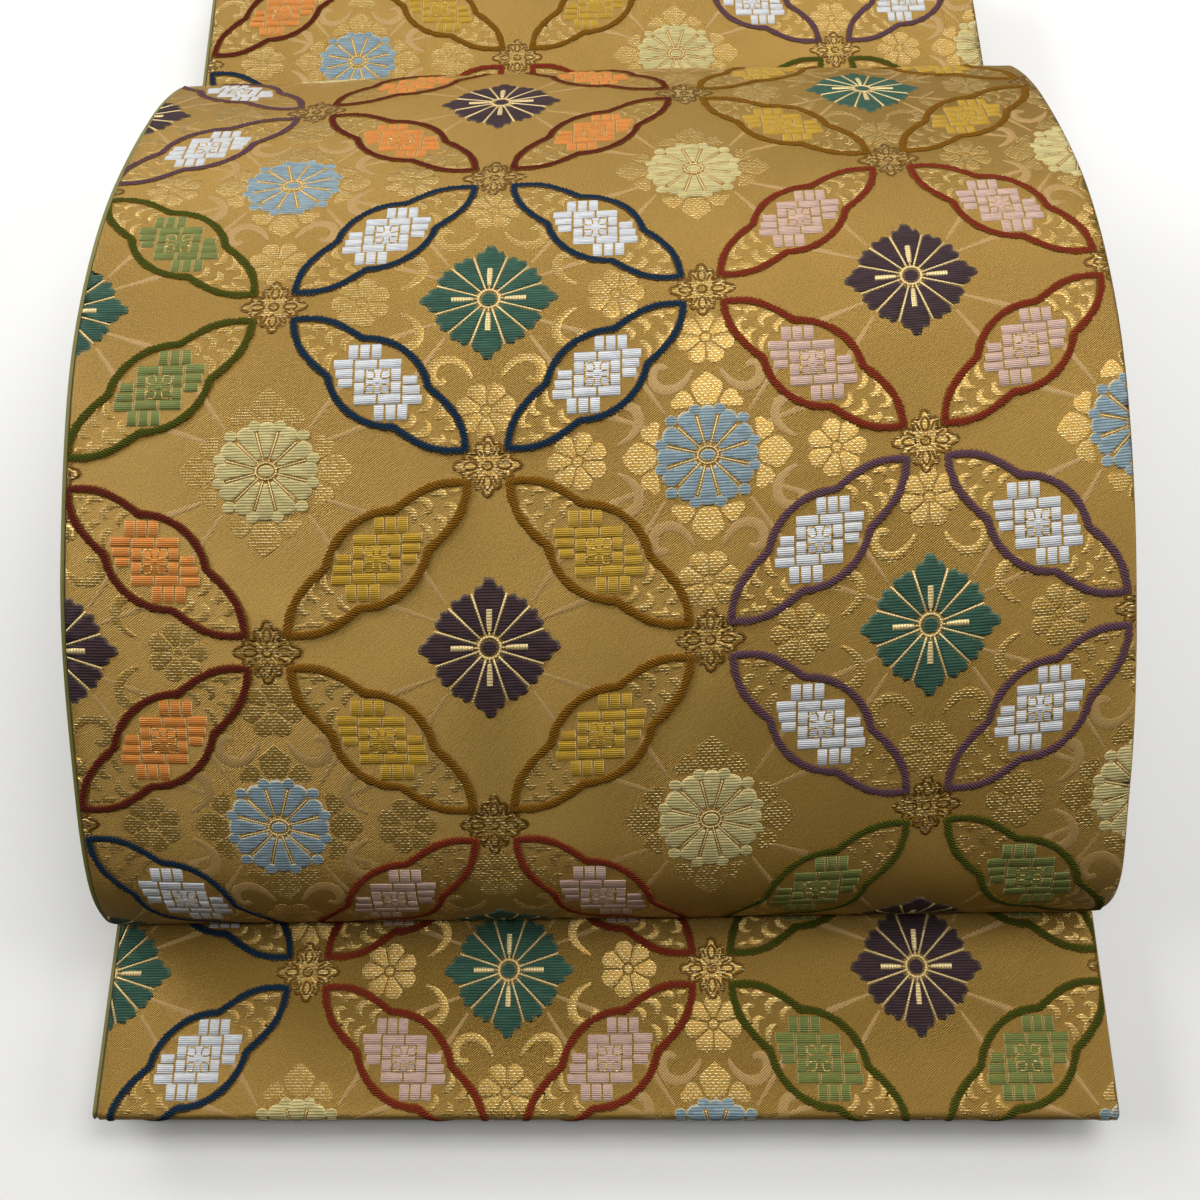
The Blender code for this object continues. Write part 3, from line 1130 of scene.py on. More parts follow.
@dataclass(frozen=True)
class GoldNode:
    """The gold four-petalled flower where the circles meet."""

    # Half of a petal's edge: (degrees from its middle, millimetres from the centre).
    petal_edge: tuple[Point, ...] = (
        (0.0, 9.5), (9.0, 8.9), (13.0, 7.3), (17.0, 7.0), (26.0, 7.7), (35.0, 6.6), (40.0, 5.2),
        (45.0, 4.8),
    )
    level_growth: float = 0.08
    height: float = 0.13 * MM
    line: float = 1.0 * MM
    thin_line: float = 0.7 * MM
    # Each petal's eye: its middle and its two half-breadths; and the ring at the centre.
    eye_up: float = 4.9 * MM
    eye: Point = (1.1 * MM, 2.0 * MM)
    ring: Point = (1.4 * MM, 1.3 * MM)
    rib: tuple[float, ...] = (3.4 * MM, 4.9 * MM, 6.3 * MM)
    rib_degrees: float = 27.0
    rib_width: float = 0.8 * MM

    def edge_point(self, share: float, inset: float = 0.0) -> Point:
        """A point on the edge, at a share of the way round and so far in from it."""
        degrees = 360 * share
        off = degrees - 90 * round(degrees / 90)
        growth = 1 + self.level_growth * abs(math.sin(math.radians(degrees)))
        return ray_points(degrees, (smoothed(self.petal_edge, off) * MM * growth - inset,))[0]

    def pattern(self) -> Mesh:
        """The whole flower: material 0 is its raised dark lines and 1 the low field between them."""
        relief = Relief()
        for lobe in range(12):
            middle = 30 * lobe

            def reach(share: float, middle: float = middle) -> float:
                """The field's end, just inside the line."""
                return math.hypot(*self.edge_point((middle + 15 * share) / 360, 0.3 * MM))

            relief.fan(
                middle, 15, 0.5 * MM, reach, 0.02 * MM, LAME_HEIGHT, columns=6, material=1, flat=True
            )
        rim = [self.edge_point(i / 60, self.line / 2) for i in range(60)]
        relief.band(rim, self.line, self.height, closed=True, flat=True)
        for quarter in range(4):
            middle = ray_points(90 * quarter, (self.eye_up,))[0]
            oval = self.eye if quarter % 2 == 0 else self.eye[::-1]
            eye = round_path(oval, 10, middle)
            relief.band(eye, self.thin_line, self.height, closed=True, flat=True)
            for side in (1, -1):
                rib = ray_points(90 * quarter + side * self.rib_degrees, self.rib)
                relief.band(rib, self.rib_width, self.height, flat=True)
        relief.band(round_path(self.ring, 10), self.thin_line, self.height, closed=True, flat=True)
        return relief.mesh("gold_node")


@dataclass(frozen=True)
class GroundFigures:
    """The flat figures of the ground, in gold thread or in the ground's own silk."""

    crown_middle: tuple[Point, ...] = (
        (0.0, 25.4), (2.6, 23.3), (4.9, 21.3), (4.6, 19.2), (3.5, 17.0), (2.5, 15.2), (0.0, 14.8),
    )
    crown_side: tuple[Point, ...] = (
        (3.2, 15.2), (4.9, 18.4), (6.6, 19.7), (8.6, 19.2), (9.4, 17.3), (10.8, 16.2), (10.4, 13.8),
        (6.4, 14.2),
    )
    palmette_reach: float = 8.9 * MM
    palmette_lobes: int = 7
    palmette_eye: Point = (1.5 * MM, 1.4 * MM)
    palmette_up: float = 36.0 * MM
    palmette_across: float = 37.6 * MM
    scroll: tuple[Point, ...] = ((4.2, 26.0), (6.4, 21.0), (10.6, 18.2), (14.6, 21.0))
    scroll_hook: tuple[Point, ...] = ((14.6, 21.0), (17.8, 24.4), (14.8, 29.4), (11.8, 26.4))
    ray_ends: tuple[tuple[Point, Point], ...] = (
        ((12.4, 12.8), (21.0, 25.6)),
        ((15.0, 7.9), (28.6, 12.9)),
    )

    def crown_pattern(self) -> Mesh:
        """The four crowns about a chrysanthemum, each of three lobes."""
        relief = Relief()
        left = [(-x, y) for x, y in reversed(self.crown_side)]
        for quarter in range(4):
            for outline in (mirrored(self.crown_middle), self.crown_side, left):
                points = turned(outline, math.radians(-90 * quarter), MM)
                count = len(points)
                centre = (sum(x for x, _ in points) / count, sum(y for _, y in points) / count)
                relief.leaf(outline_edge(points, centre), centre, LAME_HEIGHT, 22, flat=True)
        return relief.mesh("crowns")

    def palmette_pattern(self) -> Mesh:
        """The four round palmettes about a rich centre."""
        relief = Relief()
        half = 180 / self.palmette_lobes
        flat = Relief()
        for lobe in range(self.palmette_lobes):

            def reach(share: float) -> float:
                """A rounded lobe."""
                return self.palmette_reach * (1 - 0.2 * abs(share) ** 3)

            flat.fan(2 * half * lobe, half, 1.8 * MM, reach, 0.28 * MM, LAME_HEIGHT, flat=True)
        eye = self.palmette_eye
        flat.leaf(lambda share: round_point(*eye, share), (0.0, 0.0), LAME_HEIGHT, 8, 1, flat=True)
        single = flat.mesh("palmette")
        for quarter in range(4):
            distance = self.palmette_across if quarter % 2 else self.palmette_up
            x, y = ray_points(90 * quarter, (distance,))[0]
            turn = Matrix.Rotation(math.radians(-90 * quarter), 4, "Z")
            relief.add(single, Matrix.Translation((x, y, 0)) @ turn)
        return relief.mesh("palmettes")

    @staticmethod
    def _scroll_width(share: float) -> float:
        """A scroll's width: it swells, and thins a little at its hook."""
        return (1.0 + 7.8 * share * (1 - 0.9 * share)) * MM

    def scroll_pattern(self) -> Mesh:
        """The eight scrolls about a rich centre."""
        relief = Relief()
        path = curve_points(self.scroll, 8) + curve_points(self.scroll_hook, 8) + [self.scroll_hook[-1]]
        for quarter in range(4):
            for side in (1, -1):
                scroll = turned([(side * x, y) for x, y in path], math.radians(-90 * quarter), MM)
                relief.band(scroll, self._scroll_width, LAME_HEIGHT, flat=True)
        return relief.mesh("scrolls")

    def ray_pattern(self) -> Mesh:
        """The hatched ribbons that run out from each flower."""
        relief = Relief()
        for side in (1, -1):
            for upward in (1, -1):
                for start, end in self.ray_ends:
                    a, b = Vector(start) * MM, Vector(end) * MM
                    line = [a.lerp(b, share) for share in (0, 0.3, 0.6, 1)]
                    path = [(side * p.x, upward * p.y) for p in line]
                    relief.band(path, lambda share: (0.9 + 1.2 * share) * MM, LAME_HEIGHT * 0.7, flat=True)
        return relief.mesh("rays")


# ---- finishes


class Nodes:
    """A hand for wiring the nodes of one tree."""

    def __init__(self, tree: Tree) -> None:
        """Takes the tree it works in."""
        self.tree = tree

    def add(self, kind: str, **settings: object) -> Node:
        """A new node with these settings."""
        node = self.tree.nodes.new(kind)
        for name, value in settings.items():
            setattr(node, name, value)
        return node

    def feed(self, socket: Socket, value: object) -> None:
        """Links a socket to an output, or sets its value."""
        if isinstance(value, Socket):
            self.tree.links.new(value, socket)
        else:
            socket.default_value = value

    def maths(self, operation: str, *values: object, clamp: bool = False) -> Socket:
        """The result of one sum."""
        node = self.add("ShaderNodeMath", operation=operation, use_clamp=clamp)
        for socket, value in zip(node.inputs, values):
            self.feed(socket, value)
        return node.outputs[0]

    def wave(self, value: object, turns: object) -> Socket:
        """The sine of a value times so many turns."""
        return self.maths("SINE", self.maths("MULTIPLY", value, turns))

    def weighed(self, first: object, share: float, second: object, other: float) -> Socket:
        """Two values added, each by its share."""
        return self.maths("MULTIPLY_ADD", first, share, self.maths("MULTIPLY", second, other))

    def scatter(self, x: object, y: object) -> Socket:
        """A value drawn afresh for each pair of whole numbers."""
        node = self.add("ShaderNodeTexWhiteNoise", noise_dimensions="2D")
        self.feed(node.inputs["Vector"], self.joined(x, y))
        return node.outputs["Value"]

    def cloth(self) -> Socket:
        """The cloth's own map, in metres."""
        return self.add("ShaderNodeUVMap", uv_map="cloth").outputs[0]

    def body(self) -> Socket:
        """The place on the whole sash."""
        return self.add("ShaderNodeTexCoord").outputs["Object"]

    def rim(self) -> Socket:
        """One on top of a raised figure, nought at its foot."""
        return self.add("ShaderNodeAttribute", attribute_name="rim").outputs["Fac"]

    def ramp(self, value: object, low: float, high: float) -> Socket:
        """Nought below a value and one above another, smooth between."""
        node = self.add("ShaderNodeMapRange", interpolation_type="SMOOTHSTEP")
        for socket, given in zip(node.inputs, (value, low, high, 0.0, 1.0)):
            self.feed(socket, given)
        return node.outputs[0]

    def blend(self, share: object, first: object, second: object, kind: str = "MIX") -> Socket:
        """One colour mixed into another."""
        node = self.add("ShaderNodeMix", data_type="RGBA", blend_type=kind)
        self.feed(node.inputs[0], share)
        for socket, value in zip(node.inputs[6:8], (first, second)):
            self.feed(socket, (*value, 1.0) if isinstance(value, tuple) and len(value) == 3 else value)
        return node.outputs[2]

    def noise(self, place: object, scale: float, detail: float = 2.0) -> Socket:
        """Soft noise about one half."""
        node = self.add("ShaderNodeTexNoise")
        self.feed(node.inputs["Vector"], place)
        node.inputs["Scale"].default_value = scale
        node.inputs["Detail"].default_value = detail
        return node.outputs["Fac"]

    def parts(self, vector: object) -> tuple[Socket, Socket]:
        """The first two parts of a vector."""
        node = self.add("ShaderNodeSeparateXYZ")
        self.feed(node.inputs[0], vector)
        return node.outputs[0], node.outputs[1]

    def joined(self, x: object, y: object) -> Socket:
        """A vector of two parts."""
        node = self.add("ShaderNodeCombineXYZ")
        self.feed(node.inputs[0], x)
        self.feed(node.inputs[1], y)
        return node.outputs[0]

    def place(self, group: Tree, **values: object) -> dict[str, Socket]:
        """The outputs of a node group whose inputs are fed."""
        node = self.add("ShaderNodeGroup")
        node.node_tree = group
        for name, value in values.items():
            self.feed(node.inputs[name], value)
        return {socket.name: socket for socket in node.outputs}


class Weaves:
    """The shared effects, each a node group built once."""

    def __init__(self) -> None:
        """Builds every group."""
        self.twill = self._group("twill", self._build_twill, ("Pitch", "Slope"), ("Height", "Shade"))
        self.floats = self._group("satin_floats", self._build_floats, ("Pitch",), ("Height", "Shade"))
        self.dashes = self._group("gold_dashes", self._build_dashes, ("Row", "Dash"), ("Mask", "Glint"))
        self.fibres = self._group("yarn_fibres", self._build_fibres, ("Pitch",), ("Height", "Shade"))
        self.dots = self._group("thread_dots", self._build_dots, ("Pitch",), ("Mask",))

    @staticmethod
    def _group(
        name: str,
        build: Callable[[Nodes, dict, dict], None],
        inputs: Sequence[str],
        outputs: Sequence[str],
    ) -> Tree:
        """Makes a group with a place and some numbers in, and some values out.

        Args:
            name: the group's name.
            build: wires its inside.
            inputs: the names of its number inputs.
            outputs: the names of its outputs.

        Returns:
            The group's tree.
        """
        tree = bpy.data.node_groups.new(name, "ShaderNodeTree")
        tree.interface.new_socket("Place", in_out="INPUT", socket_type="NodeSocketVector")
        for title in inputs:
            tree.interface.new_socket(title, in_out="INPUT", socket_type="NodeSocketFloat")
        for title in outputs:
            tree.interface.new_socket(title, in_out="OUTPUT", socket_type="NodeSocketFloat")
        nodes = Nodes(tree)
        given = nodes.add("NodeGroupInput").outputs
        taken = nodes.add("NodeGroupOutput").inputs
        build(nodes, given, taken)
        return tree

    @staticmethod
    def _build_twill(nodes: Nodes, given: dict, taken: dict) -> None:
        """Fine diagonal ribs, a little uneven."""
        x, y = nodes.parts(given["Place"])
        lean = nodes.maths("MULTIPLY", x, given["Slope"])
        phase = nodes.maths("DIVIDE", nodes.maths("ADD", lean, y), given["Pitch"])
        stray = nodes.maths("MULTIPLY", nodes.noise(given["Place"], 900.0), 0.55)
        wave = nodes.wave(nodes.maths("ADD", phase, stray), math.tau)
        height = nodes.maths("MULTIPLY_ADD", wave, 0.5, 0.5)
        nodes.feed(taken["Height"], height)
        speck = nodes.ramp(nodes.noise(given["Place"], 1700.0, 1.0), 0.2, 0.8)
        nodes.feed(taken["Shade"], nodes.maths("MULTIPLY", height, nodes.maths("ADD", speck, 0.5)))

    @staticmethod
    def _build_floats(nodes: Nodes, given: dict, taken: dict) -> None:
        """Straight silk floats, side by side across the cloth."""
        x, y = nodes.parts(given["Place"])
        stray = nodes.maths("MULTIPLY", nodes.noise(given["Place"], 300.0), 0.5)
        phase = nodes.maths("ADD", nodes.maths("DIVIDE", y, given["Pitch"]), stray)
        wave = nodes.maths("ABSOLUTE", nodes.wave(phase, math.pi))
        nodes.feed(taken["Height"], nodes.maths("POWER", wave, 0.7))
        row = nodes.maths("FLOOR", phase)
        length = nodes.maths("MULTIPLY", given["Pitch"], 4.5)
        cell = nodes.maths("FLOOR", nodes.maths("MULTIPLY_ADD", row, 0.37, nodes.maths("DIVIDE", x, length)))
        # Shade is drawn afresh for each float, and the silks lighten some floats by it: painted glints.
        nodes.feed(taken["Shade"], nodes.scatter(cell, row))

    @staticmethod
    def _build_dashes(nodes: Nodes, given: dict, taken: dict) -> None:
        """Short gold floats in staggered rows."""
        x, y = nodes.parts(given["Place"])
        rows = nodes.maths("DIVIDE", y, given["Row"])
        row = nodes.maths("FLOOR", rows)
        stray = nodes.maths("MULTIPLY", nodes.noise(given["Place"], 500.0), 0.7)
        shift = nodes.maths("MULTIPLY_ADD", row, 0.5, stray)
        steps = nodes.maths("ADD", nodes.maths("DIVIDE", x, given["Dash"]), shift)

        def hump(value: object, low: float, high: float) -> Socket:
            """A soft-edged stripe in the middle of each step."""
            return nodes.ramp(nodes.wave(nodes.maths("FRACT", value), math.pi), low, high)

        nodes.feed(taken["Mask"], nodes.maths("MULTIPLY", hump(rows, 0.72, 1.0), hump(steps, 0.2, 0.75)))
        nodes.feed(taken["Glint"], nodes.scatter(nodes.maths("FLOOR", steps), row))

    @staticmethod
    def _build_fibres(nodes: Nodes, given: dict, taken: dict) -> None:
        """The slanting fibres of a thick soft yarn."""
        x, y = nodes.parts(given["Place"])
        phase = nodes.maths("DIVIDE", nodes.maths("MULTIPLY_ADD", y, 0.9, x), given["Pitch"])
        stray = nodes.noise(given["Place"], 700.0, 3.0)
        wave = nodes.wave(nodes.maths("ADD", phase, stray), math.tau)
        nodes.feed(taken["Height"], nodes.maths("MULTIPLY_ADD", wave, 0.5, 0.5))
        nodes.feed(taken["Shade"], nodes.noise(given["Place"], 2200.0, 3.0))

    @staticmethod
    def _build_dots(nodes: Nodes, given: dict, taken: dict) -> None:
        """The dots of a thin binding thread."""
        x, y = nodes.parts(given["Place"])
        turns = nodes.maths("DIVIDE", math.tau, given["Pitch"])
        both = nodes.maths("MULTIPLY", nodes.wave(x, turns), nodes.wave(y, turns))
        nodes.feed(taken["Mask"], nodes.ramp(both, -0.15, 0.35))


@dataclass(frozen=True)
class Palette:
    """The colours that belong to the cloth as a whole."""

    ground: Colour = dyed(198, 158, 75)
    ground_shade: Colour = dyed(116, 84, 25)
    tonal: Colour = dyed(200, 162, 96)
    tonal_shade: Colour = dyed(138, 106, 56)
    # The gold of dashes that glint and of dashes out of the light: painted glints.
    gold: Colour = dyed(252, 232, 170)
    unlit_gold: Colour = dyed(206, 166, 84)
    old_gold: Colour = dyed(122, 85, 14)
    # The old gold's darker colour, painted as shade between its rows and at its foot.
    old_gold_shade: Colour = dyed(58, 35, 2)
    binding: Colour = dyed(236, 212, 152)
    binding_shade: Colour = dyed(204, 178, 122)
    block_dots: Colour = dyed(236, 214, 160)
    lining: Colour = dyed(128, 122, 52)
    floor: Colour = dyed(240, 239, 236)
    # What the table throws back on the cloth.
    floor_bounce: Colour = dyed(120, 118, 112)


class Finishes:
    """Every material of the sash, made once and handed out by name."""

    def __init__(self) -> None:
        """Makes the shared weaves and the plain materials."""
        self.weaves = Weaves()
        self.palette = Palette()
        self.ground = self._make("gold_ground", self._wire_ground, roughness=0.36, metallic=0.55)
        self.lame = self._make("gold_dashes", self._wire_lame)
        self.tonal = self._make("tonal_silk", self._wire_tonal, metallic=0.2)
        self.node = self._make("antique_gold", self._wire_node, roughness=0.42, metallic=0.5, specular=0.3)
        self.binding = self._make("binding_thread", self._wire_binding, roughness=0.4, metallic=0.4)
        self.lining = self._make("olive_lining", self._wire_lining, sheen=0.25)
        self.edges = self._make("layer_edges", self._wire_edges, roughness=0.55, sheen=0.2)
        self.floor = self._make("pale_floor", self._wire_floor, roughness=0.8)
        self.outlines = {
            silk: self._silk(f"{silk.name.lower()}_yarn", silk.value.outline, self._wire_yarn, 0.9, 0.05)
            for silk in Silk
        }
        self.blocks = {
            silk: self._silk(f"{silk.name.lower()}_blocks", silk.value.blocks, self._wire_blocks, 0.45, 0.4)
            for silk in Silk
        }
        self.blooms = {
            bloom: self._silk(f"{bloom.name.lower()}_bloom", bloom.value, self._wire_bloom, 0.6, 0.12)
            for bloom in Bloom
        }

    def _make(
        self,
        name: str,
        wire: Callable[[Nodes, Node], None],
        roughness: float = 0.5,
        metallic: float = 0.0,
        sheen: float = 0.0,
        specular: float = 0.5,
    ) -> Material:
        """A material whose pattern is wired by a method.

        Args:
            name: the material's name.
            wire: wires the pattern into the shader.
            roughness: its roughness where the pattern sets none.
            metallic: how far it is metal where the pattern doesn't say.
            sheen: the weight of its sheen.
            specular: how strongly its surface mirrors light.

        Returns:
            The material.
        """
        material = bpy.data.materials.new(name)
        material.use_nodes = True
        nodes = Nodes(material.node_tree)
        shader = material.node_tree.nodes["Principled BSDF"]
        for socket, value in (
            ("Roughness", roughness),
            ("Metallic", metallic),
            ("Sheen Weight", sheen),
            ("Sheen Roughness", 0.4),
            ("Specular IOR Level", specular),
        ):
            shader.inputs[socket].default_value = value
        wire(nodes, shader)
        return material

    def _silk(
        self, name: str, colour: Colour, wire: Callable, roughness: float, specular: float
    ) -> Material:
        """A material of one dyed silk."""
        return self._make(
            name, lambda nodes, shader: wire(nodes, shader, colour), roughness, specular=specular
        )

    @staticmethod
    def _lay(
        nodes: Nodes,
        shader: Node,
        colour: Socket,
        height: Socket,
        depth: float,
        strength: float = 1.0,
    ) -> None:
        """Lays a colour and a height on the shader.

        Args:
            nodes: the hand that wires them.
            shader: the shader of the material.
            colour: its base colour.
            height: the height of its weave, nought to about one.
            depth: how deep a height of one is.
            strength: how strongly it shows.
        """
        bump = nodes.add("ShaderNodeBump")
        bump.inputs["Strength"].default_value = strength
        bump.inputs["Distance"].default_value = depth
        nodes.feed(bump.inputs["Height"], height)
        nodes.feed(shader.inputs["Normal"], bump.outputs[0])
        nodes.feed(shader.inputs["Base Color"], colour)

    def _ground_colour(self, nodes: Nodes, place: object, body: object) -> Socket:
        """The ground's colour: fine ribs, and soft clouds of light and shade."""
        twill = nodes.place(self.weaves.twill, Place=place, Pitch=0.68 * MM, Slope=0.8)
        cloudy = nodes.ramp(nodes.noise(body, 14.0), 0.3, 0.7)
        share = nodes.weighed(twill["Shade"], 0.85, cloudy, 0.12)
        return nodes.blend(share, self.palette.ground_shade, self.palette.ground)

    def _wire_ground(self, nodes: Nodes, shader: Node) -> None:
        """The satin ground with its fine twill."""
        place, body = nodes.cloth(), nodes.body()
        twill = nodes.place(self.weaves.twill, Place=place, Pitch=0.68 * MM, Slope=0.8)
        colour = self._ground_colour(nodes, place, body)
        self._lay(nodes, shader, colour, twill["Height"], 0.15 * MM)

    def _wire_lame(self, nodes: Nodes, shader: Node) -> None:
        """Gold dashes over the ground, the bright ones painted glints."""
        place, body = nodes.cloth(), nodes.body()
        dashes = nodes.place(self.weaves.dashes, Place=place, Row=0.86 * MM, Dash=1.7 * MM)
        ground = self._ground_colour(nodes, place, body)
        # Each dash takes the bright or the unlit gold by its Glint value: painted glints.
        gold = nodes.blend(dashes["Glint"], self.palette.unlit_gold, self.palette.gold)
        mask = dashes["Mask"]
        nodes.feed(shader.inputs["Metallic"], nodes.maths("MULTIPLY_ADD", mask, 0.2, 0.55))
        nodes.feed(shader.inputs["Roughness"], nodes.maths("MULTIPLY_ADD", mask, -0.1, 0.36))
        uneven = nodes.maths("MULTIPLY_ADD", dashes["Glint"], 0.8, 0.6)
        height = nodes.maths("MULTIPLY", mask, uneven)
        self._lay(nodes, shader, nodes.blend(mask, ground, gold), height, 0.09 * MM)

    def _wire_tonal(self, nodes: Nodes, shader: Node) -> None:
        """Figures in the ground's own silk, woven the other way."""
        place = nodes.cloth()
        twill = nodes.place(self.weaves.twill, Place=place, Pitch=0.84 * MM, Slope=-0.9)
        colour = nodes.blend(twill["Shade"], self.palette.tonal_shade, self.palette.tonal)
        self._lay(nodes, shader, colour, twill["Height"], 0.1 * MM, 0.8)

    def _wire_node(self, nodes: Nodes, shader: Node) -> None:
        """Old dark gold with painted shade between its rows and at its foot, crossed by gold thread with
        painted glints.
        """
        place = nodes.cloth()
        rows = nodes.place(self.weaves.floats, Place=place, Pitch=0.74 * MM)
        dashes = nodes.place(self.weaves.dashes, Place=place, Row=0.74 * MM, Dash=1.3 * MM)
        rim = nodes.rim()
        inside = nodes.maths("MULTIPLY", nodes.ramp(rim, 0.25, 0.75), dashes["Mask"])
        # Dashes picked by their Glint value take the bright gold: painted glints.
        share = nodes.maths("MULTIPLY", inside, nodes.ramp(dashes["Glint"], 0.6, 1.1))
        # Between the rows and at the foot of the lines the old gold turns darker: painted shade.
        crown = nodes.maths("MULTIPLY", rows["Height"], rim)
        dark = nodes.blend(crown, self.palette.old_gold_shade, self.palette.old_gold)
        colour = nodes.blend(share, dark, self.palette.gold)
        height = nodes.maths("ADD", rows["Height"], share)
        self._lay(nodes, shader, colour, height, 0.1 * MM)

    def _wire_binding(self, nodes: Nodes, shader: Node) -> None:
        """A thin pale-gold thread seen as a row of dots."""
        x, _ = nodes.parts(nodes.cloth())
        mask = nodes.ramp(nodes.wave(x, math.tau / (0.85 * MM)), -0.8, 0.3)
        colour = nodes.blend(mask, self.palette.binding_shade, self.palette.binding)
        self._lay(nodes, shader, colour, mask, 0.12 * MM)

    def _wire_yarn(self, nodes: Nodes, shader: Node, colour: Colour) -> None:
        """A thick matt yarn, with painted shade between its fibres and painted highlights on them."""
        place = nodes.cloth()
        _, reach = nodes.parts(place)
        fibres = nodes.place(self.weaves.fibres, Place=place, Pitch=0.95 * MM)
        # From the grooves to the crowns of the fibres the yarn runs from painted shade to a painted
        # highlight.
        share = nodes.weighed(fibres["Height"], 0.7, fibres["Shade"], 0.4)
        yarn = nodes.blend(share, toned(colour, 0.25), toned(colour, 1.6, 0.008))
        # Between the tufts at its edges the ground shows, in its dark twill colour as painted shade beside
        # the yarn.
        edge = nodes.ramp(nodes.maths("ABSOLUTE", reach), 0.55 * MM, 1.25 * MM)
        gap = nodes.ramp(nodes.maths("SUBTRACT", edge, fibres["Height"]), -0.05, 0.3)
        yarn = nodes.blend(gap, yarn, self.palette.ground_shade)
        self._lay(nodes, shader, yarn, fibres["Height"], 0.32 * MM)

    def _wire_blocks(self, nodes: Nodes, shader: Node, colour: Colour) -> None:
        """Glossy floats, with painted shade between them and painted glints on some, and gold dots down the
        sides of each block.
        """
        place = nodes.cloth()
        _, up = nodes.parts(place)
        rows = nodes.place(self.weaves.floats, Place=place, Pitch=0.62 * MM)
        rim = nodes.rim()
        beads = nodes.wave(up, math.tau / (0.62 * MM))
        edge = nodes.maths("MULTIPLY", nodes.ramp(rim, 1.0, 0.5), nodes.ramp(beads, -0.6, 0.3))
        # Darker between the floats as painted shade, lighter on some floats as painted glints.
        share = nodes.weighed(rows["Height"], 0.7, rows["Shade"], 0.3)
        silk = nodes.blend(share, toned(colour, 0.42), colour)
        silk = nodes.blend(edge, silk, self.palette.block_dots)
        self._lay(nodes, shader, silk, rows["Height"], 0.18 * MM)

    def _wire_bloom(self, nodes: Nodes, shader: Node, colour: Colour) -> None:
        """Level floats in coarse rows, with painted shade between them, painted glints on them and dotted
        edges.
        """
        place = nodes.cloth()
        rows = nodes.place(self.weaves.floats, Place=place, Pitch=0.85 * MM)
        rim = nodes.rim()
        dots = nodes.place(self.weaves.dots, Place=place, Pitch=1.3 * MM)["Mask"]
        dotted = 0.55 if colour in (Bloom.BLUE.value, Bloom.BEIGE.value) else 0.12
        dots = nodes.maths("MULTIPLY_ADD", dots, dotted, dotted * 0.6)
        edge = nodes.maths("MULTIPLY", nodes.ramp(rim, 0.95, 0.3), dots)
        # Darker between the floats as painted shade, paler on their crowns and on some floats as painted
        # glints.
        share = nodes.weighed(rows["Height"], 0.65, rows["Shade"], 0.35)
        silk = nodes.blend(share, toned(colour, 0.38), toned(colour, 1.28, 0.006))
        silk = nodes.blend(edge, silk, self.palette.binding)
        self._lay(nodes, shader, silk, rows["Height"], 0.2 * MM, 0.9)

    def _wire_lining(self, nodes: Nodes, shader: Node) -> None:
        """The plain olive silk of the lining."""
        place, body = nodes.cloth(), nodes.body()
        twill = nodes.place(self.weaves.twill, Place=place, Pitch=0.6 * MM, Slope=0.4)
        soft = nodes.ramp(nodes.noise(body, 30.0), 0.3, 0.7)
        share = nodes.weighed(twill["Shade"], 0.6, soft, 0.3)
        olive = self.palette.lining
        colour = nodes.blend(share, toned(olive, 0.7), olive)
        self._lay(nodes, shader, colour, twill["Height"], 0.04 * MM, 0.6)

    def _wire_edges(self, nodes: Nodes, shader: Node) -> None:
        """The folded layers' edges."""
        twill = nodes.place(self.weaves.twill, Place=nodes.body(), Pitch=0.8 * MM, Slope=0.6)
        colour = nodes.blend(twill["Shade"], self.palette.ground_shade, self.palette.ground)
        self._lay(nodes, shader, colour, twill["Height"], 0.05 * MM, 0.6)

    def _wire_floor(self, nodes: Nodes, shader: Node) -> None:
        """A pale matt table that throws little light back."""
        floor = self.palette.floor
        pale = nodes.blend(nodes.noise(nodes.body(), 3.0), toned(floor, 0.97), floor)
        seen = nodes.add("ShaderNodeLightPath").outputs["Is Camera Ray"]
        nodes.feed(shader.inputs["Base Color"], nodes.blend(seen, self.palette.floor_bounce, pale))


# ---- sub-assemblies


